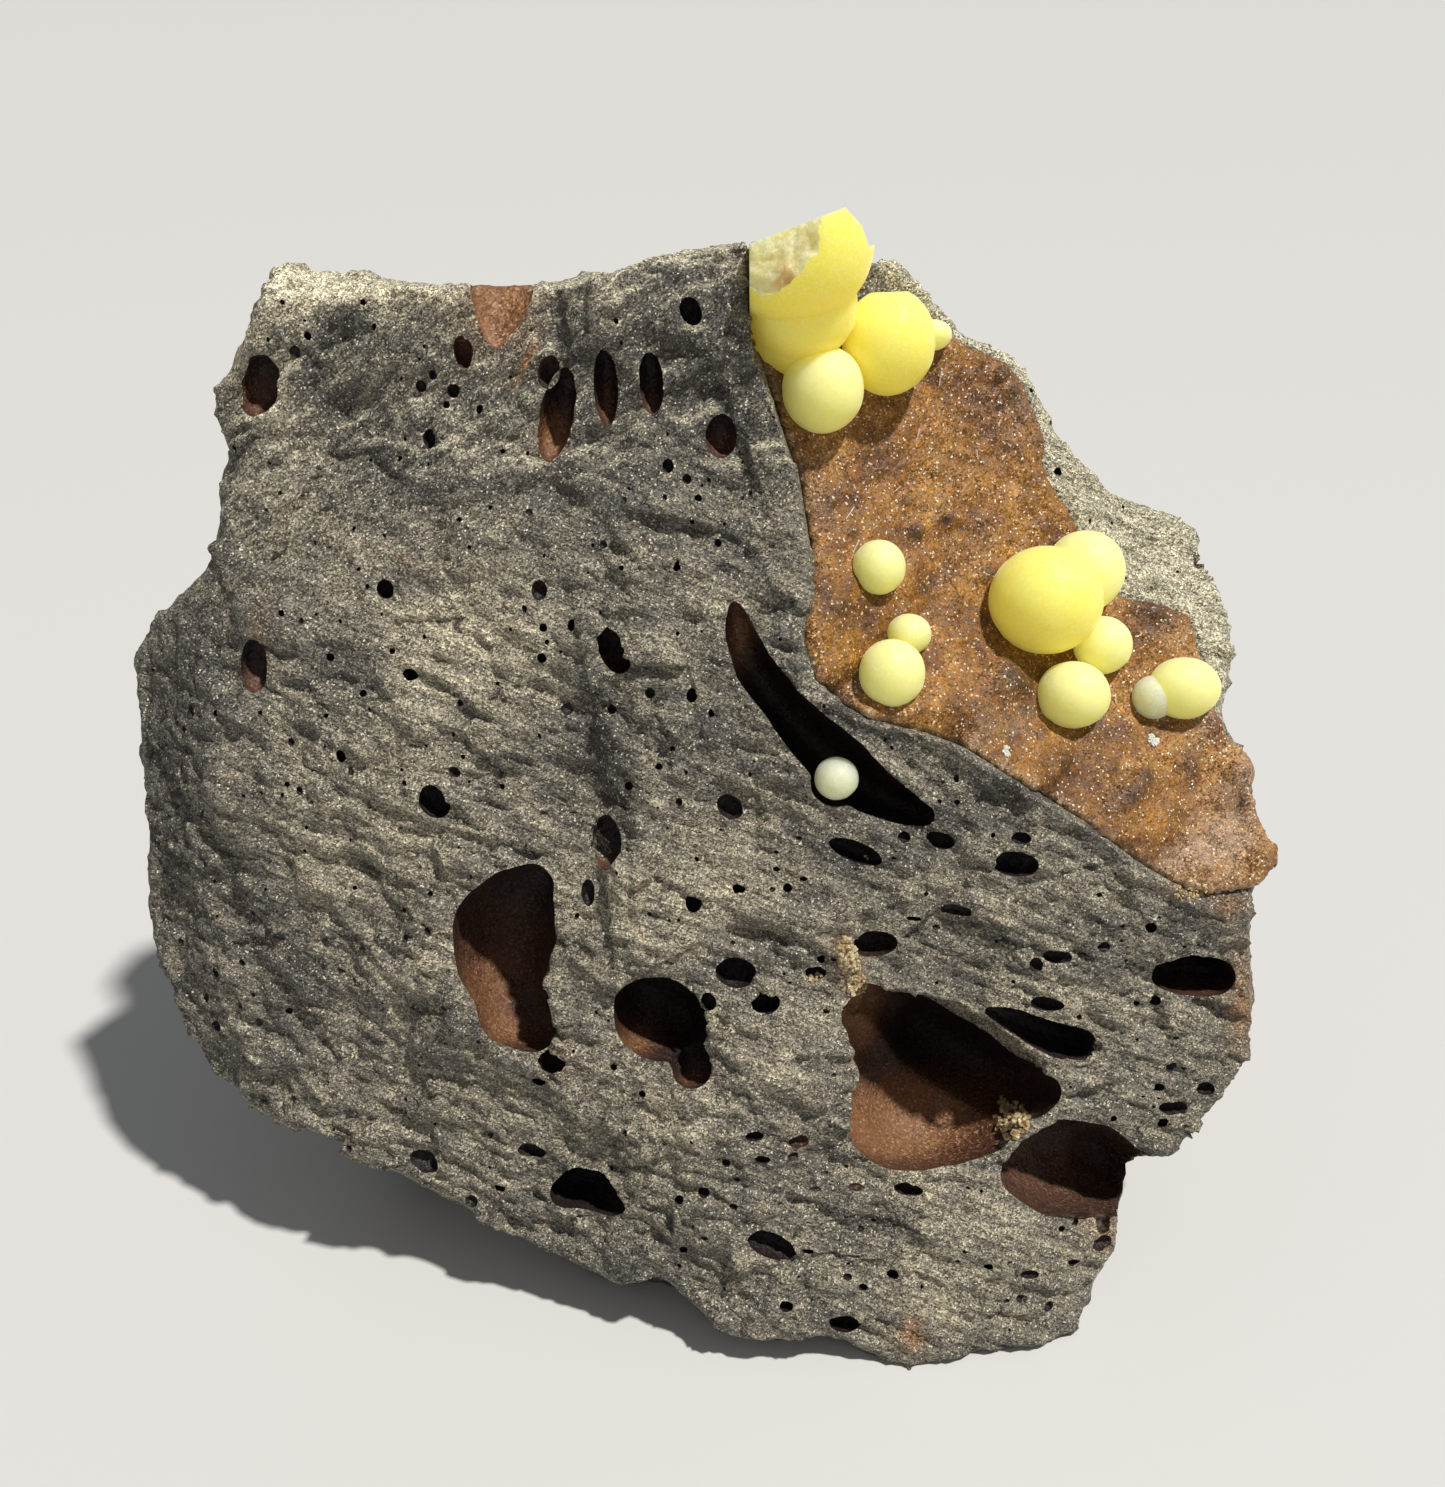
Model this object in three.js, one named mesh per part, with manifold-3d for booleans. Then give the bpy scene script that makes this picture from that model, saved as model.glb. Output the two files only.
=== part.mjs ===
// A calcite specimen: yellow calcite balls in the broken bubbles of a basalt block.
// Millimetres, +Z up. The broken face looks towards -Y. The origin is on the surface that the
// block stands on, under the middle of its box.

import * as THREE from 'three';
import { mergeVertices } from 'three/addons/utils/BufferGeometryUtils.js';
import Module from 'manifold-3d';

const wasm = await Module();
wasm.setup();

// The shapes are drawn as an eye in front of the specimen sees them: u to the right and v up,
// in millimetres at the sight distance, and w in millimetres towards the eye.
const sightDistance = 144.6;
const sightElevation = THREE.MathUtils.degToRad(30);
const eyeHeight = 134.4;
const eyeBack = 135.23;
const eyeRight = 0.32;

const gap = 0.35;
const crustThickness = 1.0;
const faceStep = 4.9;
const crustStep = 5.6;
const farBehind = -85;
const farBefore = 35;

function place(u, v, w) {
  const reach = sightDistance - w;
  const scale = reach / sightDistance;
  const up = v * scale;
  return new THREE.Vector3(
    u * scale + eyeRight,
    up * Math.sin(sightElevation) + reach * Math.cos(sightElevation) - eyeBack,
    up * Math.cos(sightElevation) - reach * Math.sin(sightElevation) + eyeHeight,
  );
}

// The block's outline as seen by the eye, clockwise from the upper left corner.
const blockOutline = [
  [-44.8, 47.6], [-42, 47.7], [-37.5, 47], [-33.5, 45.6], [-24, 45], [-18, 45.3], [-12, 46.2],
  [-7, 47.8], [3, 49.8], [8, 49], [14.6, 48], [18.5, 47.8], [20.5, 46], [24.3, 41], [29.5, 36.5],
  [32.8, 31.5], [33.7, 29.3], [38.2, 24.2], [41.2, 22.6], [44, 22.4], [48.1, 20.8], [48.3, 18],
  [50.1, 11.8], [50.2, 8.6], [49.4, 3], [50.4, 0.4], [52.3, -1.6], [53.6, -8], [55.5, -11.2],
  [53, -15], [52.9, -20], [53.1, -23.6], [52.5, -31.2], [50.3, -35], [45, -41.2], [40.8, -41.8],
  [39.7, -47.5], [39.5, -50.8], [37.9, -53], [35.4, -59.5], [30, -60.6], [21.5, -62.2],
  [18.6, -63], [12.8, -60], [9, -59.2], [5, -59.9], [1.5, -59.2], [-1.6, -57.2], [-4.2, -54.4],
  [-6, -53.3], [-10, -54], [-18, -50.4], [-26, -46.5], [-32, -43], [-35, -41.8], [-38, -39.5],
  [-42.6, -38.8], [-47, -36.6], [-49, -34.1], [-51.6, -33], [-53, -29], [-56.2, -22],
  [-57, -16], [-57.6, -3], [-58.2, 4], [-58, 9], [-56, 12.1], [-51, 17.2], [-49.6, 22.6],
  [-49.9, 26], [-49, 28.4], [-50, 32], [-50, 35], [-48, 38.5], [-45.8, 43],
];

// The crust's lower left rim, from its top corner down to the right end of the block,
// then its upper right side back to the top.
const crustRim = [
  [2.9, 49.8], [2.9, 40.5], [4.5, 36.8], [6.6, 30], [8, 26], [9.2, 18], [8.6, 14], [8.4, 10],
  [9.6, 6], [12.4, 3.4], [16, 1.8], [20.4, 0.8], [24, -0.5], [32, -5.4], [36, -7.8],
  [43, -13], [46, -14.5], [49.5, -15.3], [52.8, -14.8], [56.5, -13.4],
];
const crustTop = [
  [58, -8], [53, 0.4], [49.6, 2.4], [48.6, 7.6], [46.8, 12.6], [43.2, 13.7], [40, 14.3],
  [37.6, 17.5], [34.7, 23.1], [33.3, 25], [32.4, 27.8], [32.6, 30], [30.5, 35.3],
  [28.6, 37.6], [22.9, 40.6], [18, 44.5], [14.4, 49.8],
];
const beyondBlock = [[70, -12], [70, 60], [2.9, 60]];
const leftCrest = crustRim.slice(1, 8);
const lowerCrest = crustRim.slice(7);

// The broken face leans back from the eye and falls away at its left and right ends.
// Swellings and dents in it: u, v, their half widths, and how far they stand out.
const swellings = [
  [-26, 2, 20, 22, 2], [-33, 31, 12, 10, -2.4], [2, -38, 12, 14, 3], [-2, 33, 9, 8, -1.8],
  [20, -60, 26, 13, 3.9], [-46, 8, 7, 9, 1.5], [-38, -14, 10, 8, -1.6], [-20, 22, 8, 7, 1.5],
  [-27, -24, 7, 7, 1.3], [36, -20, 9, 6, 1.4], [-9, -16, 6, 8, 1.3], [2, 8, 6, 9, -1],
  [30, -50, 7, 6, 1.2], [12, -50, 6, 5, -1.2], [-14, 39, 6, 6, 1.2], [46, -33, 7, 6, 1],
  [55, -10, 9, 8, 2.6],
];

// Edges at which the face breaks to another slope. On the right of the line's direction the face
// falls away by so much for each millimetre, and no lower than the given depth.
const breaks = [
  {
    line: [[-40, -46], [-46, -34], [-52.4, -20], [-53.2, 0], [-51.4, 16], [-46.8, 28], [-46, 52]],
    slope: -1.05,
    deepest: 40,
    left: true,
  },
  { line: [[-60, -12], [-39, -21], [-16, -32], [-8.4, -44], [-7, -60]], slope: -0.4, deepest: 9 },
  {
    line: [[4, -64], [7.5, -51], [15, -46], [21, -42.5], [28, -42.5], [46, -31], [58, -32]],
    slope: -0.2,
    deepest: 4,
  },
  { line: [[33, -14], [34, -30], [33, -44]], slope: -0.2, deepest: 12, left: true },
  { line: [[-52, 47.4], [-38, 45.7], [-24, 45.1], [-22.5, 60]], slope: -5, deepest: 20, left: true },
];

// Ledges: the face stands higher on the right of the line's direction than on the left, and
// the step dies away over its reach.
const ledges = [
  {
    line: [[-8, -22], [-9.4, -13], [-10.2, 2], [-11.6, 10], [-13.2, 26], [-15.2, 44]],
    step: 3,
    reach: 9,
  },
  { line: [[-28, -42], [-26, -31], [-30, -23], [-38, -20]], step: 1.8, reach: 6 },
  { line: [[4, 30], [-1, 36], [-10, 38], [-14, 34]], step: 2, reach: 5 },
  { line: [[-22, 12], [-26, 20], [-36, 26], [-48, 22]], step: 1.8, reach: 6 },
  { line: [[20, -20], [6, -18], [-4, -21]], step: 1.5, reach: 5 },
];

// Bubbles cut open by the break: u, v, width, length, turn of the length from +v in degrees
// counter-clockwise, and depth below the face.
const largeBubbles = [
  // the hollow in the lower left
  [-20.8, -19.5, 9.3, 13.8, -8, 7.5], [-20, -26, 7, 9.6, 12, 6.5], [-16.7, -28.4, 2.6, 3.8, 0, 4],
  // the round hollow in the middle and its neighbour
  [-5.6, -27.9, 8.3, 10, 62, 8], [-2.3, -32.6, 3, 4.2, 0, 3.5],
  // the long hollow on the right, with its lower lobe
  [22.8, -30.4, 8.2, 24.5, 63, 10], [18.3, -36.6, 11.4, 11.2, 20, 7], [16.8, -29.5, 9.2, 10, 0, 6],
  [25, -37, 6.4, 9, 75, 6.5],
  // the tapered hollow above it
  [31.6, -29.3, 2.6, 11.4, 66, 3.5], [35.6, -30.7, 3.2, 4.8, 75, 3.5],
  // the hollow at the lower right edge
  [33.6, -42.9, 8.2, 12.6, 66, 8], [37.6, -42, 7.4, 8, 0, 7],
  // the hollow on the right edge
  [47.2, -23.2, 3, 9.6, 88, 4.5],
  // the slit that curves down from the middle
  [2.3, 9.2, 2.8, 10, 16, 4], [6.6, 3.5, 3.8, 12, 36, 5.5], [12, -2, 4.3, 12, 46, 6],
  [17.4, -6.3, 3.3, 9.6, 60, 4.5],
];
const smallBubbles = [
  [-46, 35.4, 3.5, 5.2, -14, 2.6], [-46.7, 7.4, 2.5, 4.5, 0, 3], [-16.2, 32.6, 3, 8.6, -14, 3],
  [-11.4, 35.4, 2, 7, 2, 2.4], [-6.9, 35.8, 2.1, 5.6, 4, 2.4], [-21.7, 45.2, 4.8, 11, 0, 1.4],
  [-10.6, 9.2, 2.8, 4.9, 24, 3], [-28.6, -6, 2.6, 3.4, 36, 2.4], [-11.3, -10.3, 2.7, 5, 4, 3],
  [1.6, -23.2, 2.7, 3.7, 80, 2.4], [13.5, -11.1, 1.8, 5.2, 68, 2.4], [29.4, -12.3, 2.2, 4.3, 82, 2.4],
  [15.2, -20.3, 2.3, 4.5, 92, 2.4], [-14.2, -45, 3, 5.2, 84, 3],
];

// Bubbles broken open on the back: x, z and radius.
const backBubbles = [
  [-37, 44, 5], [-14, 64, 6.5], [-4, 58, 4], [29, 24, 6],
];

// Balls of calcite: u, v, radius, how high the centre is above what the ball grew on, and
// how finely the ball is divided.
const brokenLobe = [7.7, 50.3, 7.3, 2.6, 3];
const cornerLobes = [
  [8.1, 43.5, 5.4, 3.4, 2], [7.4, 41.2, 4.9, 2.8, 1], [10.3, 35.1, 4.1, 2.2, 2],
  [16.8, 39.7, 4.9, 2.7, 2], [21.3, 40.4, 2.4, 0.8, 1],
];
const ballGroups = {
  calcite_ball_upper: [[15.9, 17.3, 2.65, 1.9, 1]],
  calcite_pair_left: [[18.9, 10.6, 2.25, 2, 1], [17.2, 6.7, 3.4, 1.8, 2]],
  calcite_cluster_right: [
    [32.6, 14, 5.5, 3.6, 2], [36.5, 16.9, 3.9, 2.2, 2], [38.3, 9.5, 2.8, 2, 1],
  ],
  calcite_ball_lower: [[35.3, 4.5, 3.55, 2.3, 2]],
  calcite_pair_edge: [[47, 5.2, 2.9, 1.6, 1], [45.2, 5.4, 2.6, 1.5, 1], [43.5, 4.2, 2.1, 1, 1]],
};
const slitBall = { u: 11.65, v: -3.85, radius: 2.2, below: 1.6 };

// What stays of the corner cluster: its left side is flush with the basalt and its top is
// broken off. The broken plane of its great ball is given by a height and two slopes.
const cornerWindow = [
  [3.25, 49.8], [12.5, 53.2], [14.2, 51.5], [14.9, 50], [15.4, 47], [15.2, 45], [19.2, 44.9],
  [24.5, 42.5], [26, 36], [14, 29], [7.2, 29.8], [6.2, 34], [5.1, 36.9], [3.4, 39.8],
];
const fracture = { height: 3, acrossSlope: 0.246, upSlope: -0.274 };

// Lumps of crust: u, v, radius and height.
const knobs = [
  [28.8, 5.8, 2.2, 1.4], [41, -5, 2.2, 1.1], [44.2, -3.2, 1.6, 0.9], [38.6, -2.6, 1.5, 0.8],
  [22.6, 22, 1.3, 0.8], [19.4, 21, 1.1, 0.6], [28.6, 36.4, 1.2, 0.8], [26.6, 16.4, 1.6, 0.6],
  [12, 9.6, 1.3, 0.7], [15.4, 30, 1.5, 0.5], [24, 6, 1.2, 0.5], [47.6, -9, 1.8, 0.7],
];

// The block's cleaved sides, back, top and underside: the direction that each one faces and
// how far it is from a point inside the block.
const blockMiddle = new THREE.Vector3(0.9, 1.4, 48);
const cleavedFaces = [
  [-1, 0.35, 0.1, 59], [-0.8, 0.6, -0.5, 45], [-0.8, 0.8, 0, 43], [1, 0.5, 0.15, 53],
  [0.9, 0.4, -0.6, 51], [0.7, 0.9, 0.1, 43], [0, 1, 0.12, 30], [0.25, 1, -0.3, 31],
  [-0.2, 1, 0.35, 36], [0.5, 0.8, 0.75, 48.5], [0, 0.45, 0.9, 56.4], [0.1, 0.8, 0.65, 45],
  [-0.4, -0.55, -0.73, 52.5], [0.5, 0.1, -0.85, 56.5], [0, -1, 0, 90], [0, 0, -1, 90],
];

const colours = { basalt: 0x5c574e, crust: 0x6d431c, calcite: 0xe9d97a, paleCalcite: 0xd9d8a8 };

const eye = new THREE.Vector3(eyeRight, -eyeBack, eyeHeight);

function material(colour, roughness) {
  return new THREE.MeshStandardMaterial({ color: colour, roughness, metalness: 0 });
}

// A repeatable random number from two whole numbers.
function scatter(i, j) {
  const s = Math.sin(i * 127.1 + j * 311.7) * 43758.5453;
  return s - Math.floor(s);
}

function bump(u, v, centreU, centreV, halfU, halfV) {
  return Math.exp(-(((u - centreU) / halfU) ** 2) - ((v - centreV) / halfV) ** 2);
}

function smoothMax(a, b, blend) {
  return blend * Math.log(Math.exp(a / blend) + Math.exp(b / blend));
}

// The nearest point of a line, how far it is, and on which side of the line (u, v) lies.
function nearestOn(line, u, v) {
  let best = { distance: Infinity };
  for (let i = 0; i + 1 < line.length; i += 1) {
    const [au, av] = line[i];
    const du = line[i + 1][0] - au;
    const dv = line[i + 1][1] - av;
    const part = ((u - au) * du + (v - av) * dv) / (du * du + dv * dv);
    const along = THREE.MathUtils.clamp(part, 0, 1);
    const foot = [au + du * along, av + dv * along];
    const distance = Math.hypot(u - foot[0], v - foot[1]);
    const onRight = du * (v - av) - dv * (u - au) < 0;
    if (distance < best.distance) best = { distance, foot, onRight };
  }
  return best;
}

function inside(u, v, outline) {
  let within = false;
  outline.forEach(([au, av], i) => {
    const [bu, bv] = outline[(i + 1) % outline.length];
    const crosses = av > v !== bv > v && u < ((bu - au) * (v - av)) / (bv - av) + au;
    if (crosses) within = !within;
  });
  return within;
}

// Every point of a line moved to the left of its direction.
function shifted(line, distance) {
  return line.map((point, i) => {
    const before = line[Math.max(i - 1, 0)];
    const after = line[Math.min(i + 1, line.length - 1)];
    const du = after[0] - before[0];
    const dv = after[1] - before[1];
    const length = Math.hypot(du, dv);
    return [point[0] - (dv / length) * distance, point[1] + (du / length) * distance];
  });
}

function face(u, v) {
  let w = 0.17 * v - (u + 5) ** 2 / 650 - Math.max(0, v + 5) ** 2 / 1600;
  for (const [su, sv, halfU, halfV, height] of swellings) {
    w += height * bump(u, v, su, sv, halfU, halfV);
  }
  for (const { line, slope, deepest, left } of breaks) {
    const { distance, onRight } = nearestOn(line, u, v);
    const beyond = onRight === !left ? distance : 0;
    w += slope * deepest * (1 - Math.exp(-beyond / deepest));
  }
  for (const { line, step, reach } of ledges) {
    const { distance, onRight } = nearestOn(line, u, v);
    const beside = onRight ? distance : -distance;
    w += 0.5 * step * Math.tanh(beside / 1.6) * Math.exp(-distance / reach);
  }
  w += 3.4 * Math.exp(-((nearestOn(lowerCrest, u, v).distance / 8) ** 2));
  w += 1.2 * Math.exp(-((nearestOn(leftCrest, u, v).distance / 7) ** 2));
  return w;
}

// The floor of the great broken bubble, which curves up to its lower rim.
function bubbleFloor(u, v) {
  const across = u - 28;
  const up = v - 14;
  const bowl = -9.2 - 0.25 * across - 0.07 * up + 0.006 * across ** 2 + 0.0035 * up ** 2;
  const rimRise = face(u, v) - 1.4 - 0.55 * nearestOn(lowerCrest, u, v).distance;
  return smoothMax(bowl, rimRise, 1.2);
}

function crustSurface(u, v) {
  let w = bubbleFloor(u, v) + gap + crustThickness;
  for (const [ku, kv, radius, height] of knobs) w += height * bump(u, v, ku, kv, radius, radius);
  return w;
}

// The broken basalt beyond the crust, nearly level with it at first and then falling away.
function rimFace(u, v) {
  const lined = inside(u, v, [...crustRim, ...crustTop]);
  const beyond = lined ? 0 : nearestOn(crustTop, u, v).distance;
  return bubbleFloor(u, v) + gap + crustThickness - 0.15 - 0.75 * beyond;
}

function solidFrom(points, triangles) {
  const vertProperties = new Float32Array(points.flatMap((p) => [p.x, p.y, p.z]));
  const triVerts = new Uint32Array(triangles);
  return new wasm.Manifold(new wasm.Mesh({ numProp: 3, vertProperties, triVerts }));
}

// A geometry with its doubled points joined, and each point moved by a rule if one is given.
function joined(geometry, move) {
  const bare = geometry.clone();
  bare.deleteAttribute('normal');
  bare.deleteAttribute('uv');
  const merged = mergeVertices(bare, 1e-4);
  const position = merged.attributes.position;
  const points = [];
  for (let i = 0; i < position.count; i += 1) {
    const point = new THREE.Vector3().fromBufferAttribute(position, i);
    points.push(move ? move(point, i) : point);
  }
  return solidFrom(points, Array.from(merged.index.array));
}

// What the eye sees inside an outline, between two depths.
function sightPrism(outline) {
  const flat = outline.map(([u, v]) => new THREE.Vector2(u, v));
  if (THREE.ShapeUtils.isClockWise(flat)) flat.reverse();
  const caps = THREE.ShapeUtils.triangulateShape(flat, []).map(([a, b, c]) => {
    const turned = THREE.ShapeUtils.isClockWise([flat[a], flat[b], flat[c]]);
    return turned ? [a, c, b] : [a, b, c];
  });
  const count = flat.length;
  const points = [farBefore, farBehind].flatMap((w) => flat.map((p) => place(p.x, p.y, w)));
  const triangles = caps.flatMap(([a, b, c]) => [a, b, c, a + count, c + count, b + count]);
  for (let i = 0; i < count; i += 1) {
    const j = (i + 1) % count;
    triangles.push(i, i + count, j, j, i + count, j + count);
  }
  return solidFrom(points, triangles);
}

// A point of the ground's grid: a little irregular, and on a ridge line if one is near.
function gridPoint(u, v, step, ridges, i, j) {
  for (const line of ridges) {
    const { distance, foot } = nearestOn(line, u, v);
    if (distance < 0.42 * step) return foot;
  }
  return [u + 0.6 * step * (scatter(i, j) - 0.5), v + 0.6 * step * (scatter(j + 57, i) - 0.5)];
}

// Ground over a rectangle of u and v, filled from one surface to another.
function groundSolid([lowU, highU], [lowV, highV], near, far, step, ridges = []) {
  const across = Math.ceil((highU - lowU) / step);
  const along = Math.ceil((highV - lowV) / step);
  const nearPoints = [];
  const farPoints = [];
  for (let j = 0; j <= along; j += 1) {
    for (let i = 0; i <= across; i += 1) {
      let u = lowU + ((highU - lowU) * i) / across;
      let v = lowV + ((highV - lowV) * j) / along;
      if (i > 0 && j > 0 && i < across && j < along) [u, v] = gridPoint(u, v, step, ridges, i, j);
      nearPoints.push(place(u, v, near(u, v)));
      farPoints.push(place(u, v, far(u, v)));
    }
  }
  const row = across + 1;
  const other = nearPoints.length;
  const triangles = [];
  const quad = (a, b, c, d) => triangles.push(a, b, c, a, c, d);
  for (let j = 0; j < along; j += 1) {
    for (let i = 0; i < across; i += 1) {
      const a = j * row + i;
      quad(a, a + 1, a + 1 + row, a + row);
      quad(other + a, other + a + row, other + a + 1 + row, other + a + 1);
    }
  }
  const wall = (a, b) => quad(a, other + a, other + b, b);
  for (let i = 0; i < across; i += 1) {
    wall(i, i + 1);
    wall(along * row + i + 1, along * row + i);
  }
  for (let j = 0; j < along; j += 1) {
    wall((j + 1) * row, j * row);
    wall(j * row + across, (j + 1) * row + across);
  }
  return solidFrom([...nearPoints, ...farPoints], triangles);
}

// The block's rough body behind its face.
function cleavedBlock() {
  const planes = cleavedFaces.map(([x, y, z, distance]) => ({
    facing: new THREE.Vector3(x, y, z).normalize(), distance,
  }));
  return joined(new THREE.IcosahedronGeometry(1, 6), (point, i) => {
    const way = point.normalize();
    let reach = 130;
    planes.forEach(({ facing, distance }) => {
      const towards = facing.dot(way);
      if (towards > 0.05) reach = Math.min(reach, distance / towards);
    });
    const lumps = Math.sin(way.x * 9 + 2) * Math.cos(way.z * 8) + Math.sin(way.y * 11 + way.z * 6);
    reach += 1 + 0.8 * lumps + 1.6 * scatter(i, 3);
    return way.multiplyScalar(reach).add(blockMiddle);
  });
}

// One bubble that the break has cut open, its mouth as wide and long as given.
function bubbleSolid([u, v, width, length, turn, depth]) {
  const sunk = 0.3;
  let detail = 1;
  if (width < 3) detail = 0;
  if (length > 14) detail = 2;
  const mouth = Math.sqrt(1 - sunk * sunk);
  const middle = place(u, v, face(u, v) - sunk * (depth / (1 + sunk)));
  const geometry = new THREE.IcosahedronGeometry(1, detail);
  geometry.scale(width / 2 / mouth, length / 2 / mouth, depth / (1 + sunk));
  geometry.rotateZ(THREE.MathUtils.degToRad(turn));
  geometry.rotateX(Math.PI / 2 - sightElevation);
  geometry.translate(middle.x, middle.y, middle.z);
  return joined(geometry);
}

function backBubbleSolid([x, z, radius]) {
  const geometry = new THREE.IcosahedronGeometry(radius, 1);
  geometry.scale(1, 1.2, 1.25);
  geometry.translate(x, blockMiddle.y + 32.5 - Math.abs(z - 40) * 0.14, z);
  return joined(geometry);
}

// A ball that is a little lumpy, as grown calcite is. Its radius is as the eye sees it.
function ballSolid(centre, radius, detail, seed) {
  const actual = (radius * centre.distanceTo(eye)) / sightDistance;
  return joined(new THREE.IcosahedronGeometry(1, detail), (point) => {
    const way = point.normalize();
    const lumpy = 1 + 0.02 * Math.sin(way.x * 4 + seed) * Math.cos(way.z * 5 - seed);
    return way.multiplyScalar(actual * lumpy).add(centre);
  });
}

function lobes(list, seed) {
  return wasm.Manifold.union(list.map((lobe, i) => {
    const [u, v, radius, rise, detail] = lobe;
    return ballSolid(place(u, v, crustSurface(u, v) + rise), radius, detail, seed + i);
  }));
}

const wholeU = [-62, 60];
const wholeV = [-67, 58];
const crustU = [0, 62];
const crustV = [-19, 60.5];
const toBack = () => farBehind;
const toFront = () => farBefore;

// The block with its bubbles.
const ridges = [lowerCrest, leftCrest, ...breaks.map((b) => b.line), ...ledges.map((l) => l.line)];
const table = joined(new THREE.BoxGeometry(400, 400, 200).translate(0, 0, -100));
const wholeBlock = groundSolid(wholeU, wholeV, face, toBack, faceStep, ridges)
  .intersect(sightPrism(blockOutline))
  .intersect(cleavedBlock())
  .subtract(table);

const greatBubble = groundSolid(crustU, crustV, toFront, rimFace, crustStep)
  .intersect(sightPrism([...crustRim, ...beyondBlock]));
const crustBed = groundSolid(crustU, crustV, toFront, bubbleFloor, crustStep)
  .intersect(sightPrism([...crustRim, ...crustTop]));
const slitCentre = place(slitBall.u, slitBall.v, face(slitBall.u, slitBall.v) - slitBall.below);
const bubbles = wasm.Manifold.union([
  ...largeBubbles.map(bubbleSolid),
  ...smallBubbles.map(bubbleSolid),
  ...backBubbles.map(backBubbleSolid),
  ballSolid(slitCentre, slitBall.radius + gap, 1, 3),
]);
const basalt = wholeBlock.subtract(greatBubble).subtract(crustBed).subtract(bubbles);

// The crust lines the great bubble and stops a little short of the basalt.
const underCrust = (u, v) => bubbleFloor(u, v) + gap;
const crust = groundSolid(crustU, crustV, crustSurface, underCrust, crustStep)
  .intersect(sightPrism([...shifted(crustRim, gap), ...shifted(crustTop, gap)]))
  .intersect(wholeBlock);

// The balls stand on the crust.
const overCrust = (u, v) => crustSurface(u, v) + gap;
const ground = groundSolid(crustU, crustV, overCrust, toBack, crustStep);
const brokenCentre = crustSurface(brokenLobe[0], brokenLobe[1]) + brokenLobe[3];
const brokenPlane = (u, v) => brokenCentre + fracture.height
  + fracture.acrossSlope * (u - cornerWindow[0][0]) + fracture.upSlope * (v - cornerWindow[0][1]);
const corner = lobes([brokenLobe], 1)
  .intersect(groundSolid([-4, 20], [36, 66], brokenPlane, toBack, 12))
  .add(lobes(cornerLobes, 2))
  .intersect(sightPrism(cornerWindow))
  .subtract(ground);

const made = [
  ['basalt_matrix', basalt, material(colours.basalt, 0.85)],
  ['cavity_crust', crust, material(colours.crust, 0.7)],
  ['calcite_cluster_corner', corner, material(colours.calcite, 0.45)],
];
Object.entries(ballGroups).forEach(([name, list], i) => {
  made.push([name, lobes(list, 10 + 5 * i).subtract(ground), material(colours.calcite, 0.45)]);
});
made.push([
  'calcite_ball_slit', ballSolid(slitCentre, slitBall.radius, 1, 3), material(colours.paleCalcite, 0.45),
]);

const group = new THREE.Group();
for (const [name, solid, look] of made) {
  const { vertProperties, triVerts } = solid.getMesh();
  const geometry = new THREE.BufferGeometry();
  geometry.setAttribute('position', new THREE.BufferAttribute(vertProperties, 3));
  geometry.setIndex(new THREE.BufferAttribute(triVerts, 1));
  const mesh = new THREE.Mesh(geometry, look);
  mesh.name = name;
  group.add(mesh);
}

export default group;
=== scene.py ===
# Yellow calcite balls in a broken gas bubble of a basalt block. Metres, +Z up.
import math
import random
import time

import bmesh
import bpy
import numpy as np
from mathutils import Euler, Matrix, Vector, noise
from mathutils.bvhtree import BVHTree


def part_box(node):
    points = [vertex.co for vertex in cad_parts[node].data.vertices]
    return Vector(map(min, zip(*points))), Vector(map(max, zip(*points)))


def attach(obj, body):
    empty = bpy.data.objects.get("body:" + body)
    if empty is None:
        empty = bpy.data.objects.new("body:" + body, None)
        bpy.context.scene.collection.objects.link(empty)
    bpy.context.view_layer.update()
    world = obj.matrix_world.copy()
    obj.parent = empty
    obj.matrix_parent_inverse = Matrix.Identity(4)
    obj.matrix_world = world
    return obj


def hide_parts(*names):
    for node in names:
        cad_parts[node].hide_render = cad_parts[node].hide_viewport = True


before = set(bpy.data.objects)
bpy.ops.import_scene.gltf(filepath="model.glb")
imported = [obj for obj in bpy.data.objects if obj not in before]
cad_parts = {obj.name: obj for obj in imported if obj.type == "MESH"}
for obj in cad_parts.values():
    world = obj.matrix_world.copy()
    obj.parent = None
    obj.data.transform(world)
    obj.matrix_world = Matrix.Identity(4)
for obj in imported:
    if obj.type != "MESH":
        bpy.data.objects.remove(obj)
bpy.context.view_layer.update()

mm = 0.001
noise.seed_set(7)  # else its vectors change with the time of day
started = time.time()


def say(text):
    print(f"[{time.time() - started:5.1f} s] {text}", flush=True)


# The eye that the specimen is drawn from. Places on its face are given as picture points, x to the
# right and y down, ten of them to a millimetre at the sight distance.
sight = {
    "eye": Vector((0.32, -135.23, 134.4)) * mm,
    "down": math.radians(30),
    "distance": 144.6 * mm,
    "pointsPerMm": 10,
    "middle": (720, 740),
    "picture": (1445, 1487),
    "lens": 35.0,
    "sensor": 36.0,
    "clip": (0.005, 20),
}
rightward = Vector((1, 0, 0))
upward = Vector((0, math.sin(sight["down"]), math.cos(sight["down"])))
towards = Vector((0, -math.cos(sight["down"]), math.sin(sight["down"])))
sightTurn = Matrix((rightward, upward, towards)).transposed()


# Millimetres right and up of the line of sight, for a picture point.
def spot(x, y):
    u = (x - sight["middle"][0]) / sight["pointsPerMm"]
    v = (sight["middle"][1] - y) / sight["pointsPerMm"]
    return u, v


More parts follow.
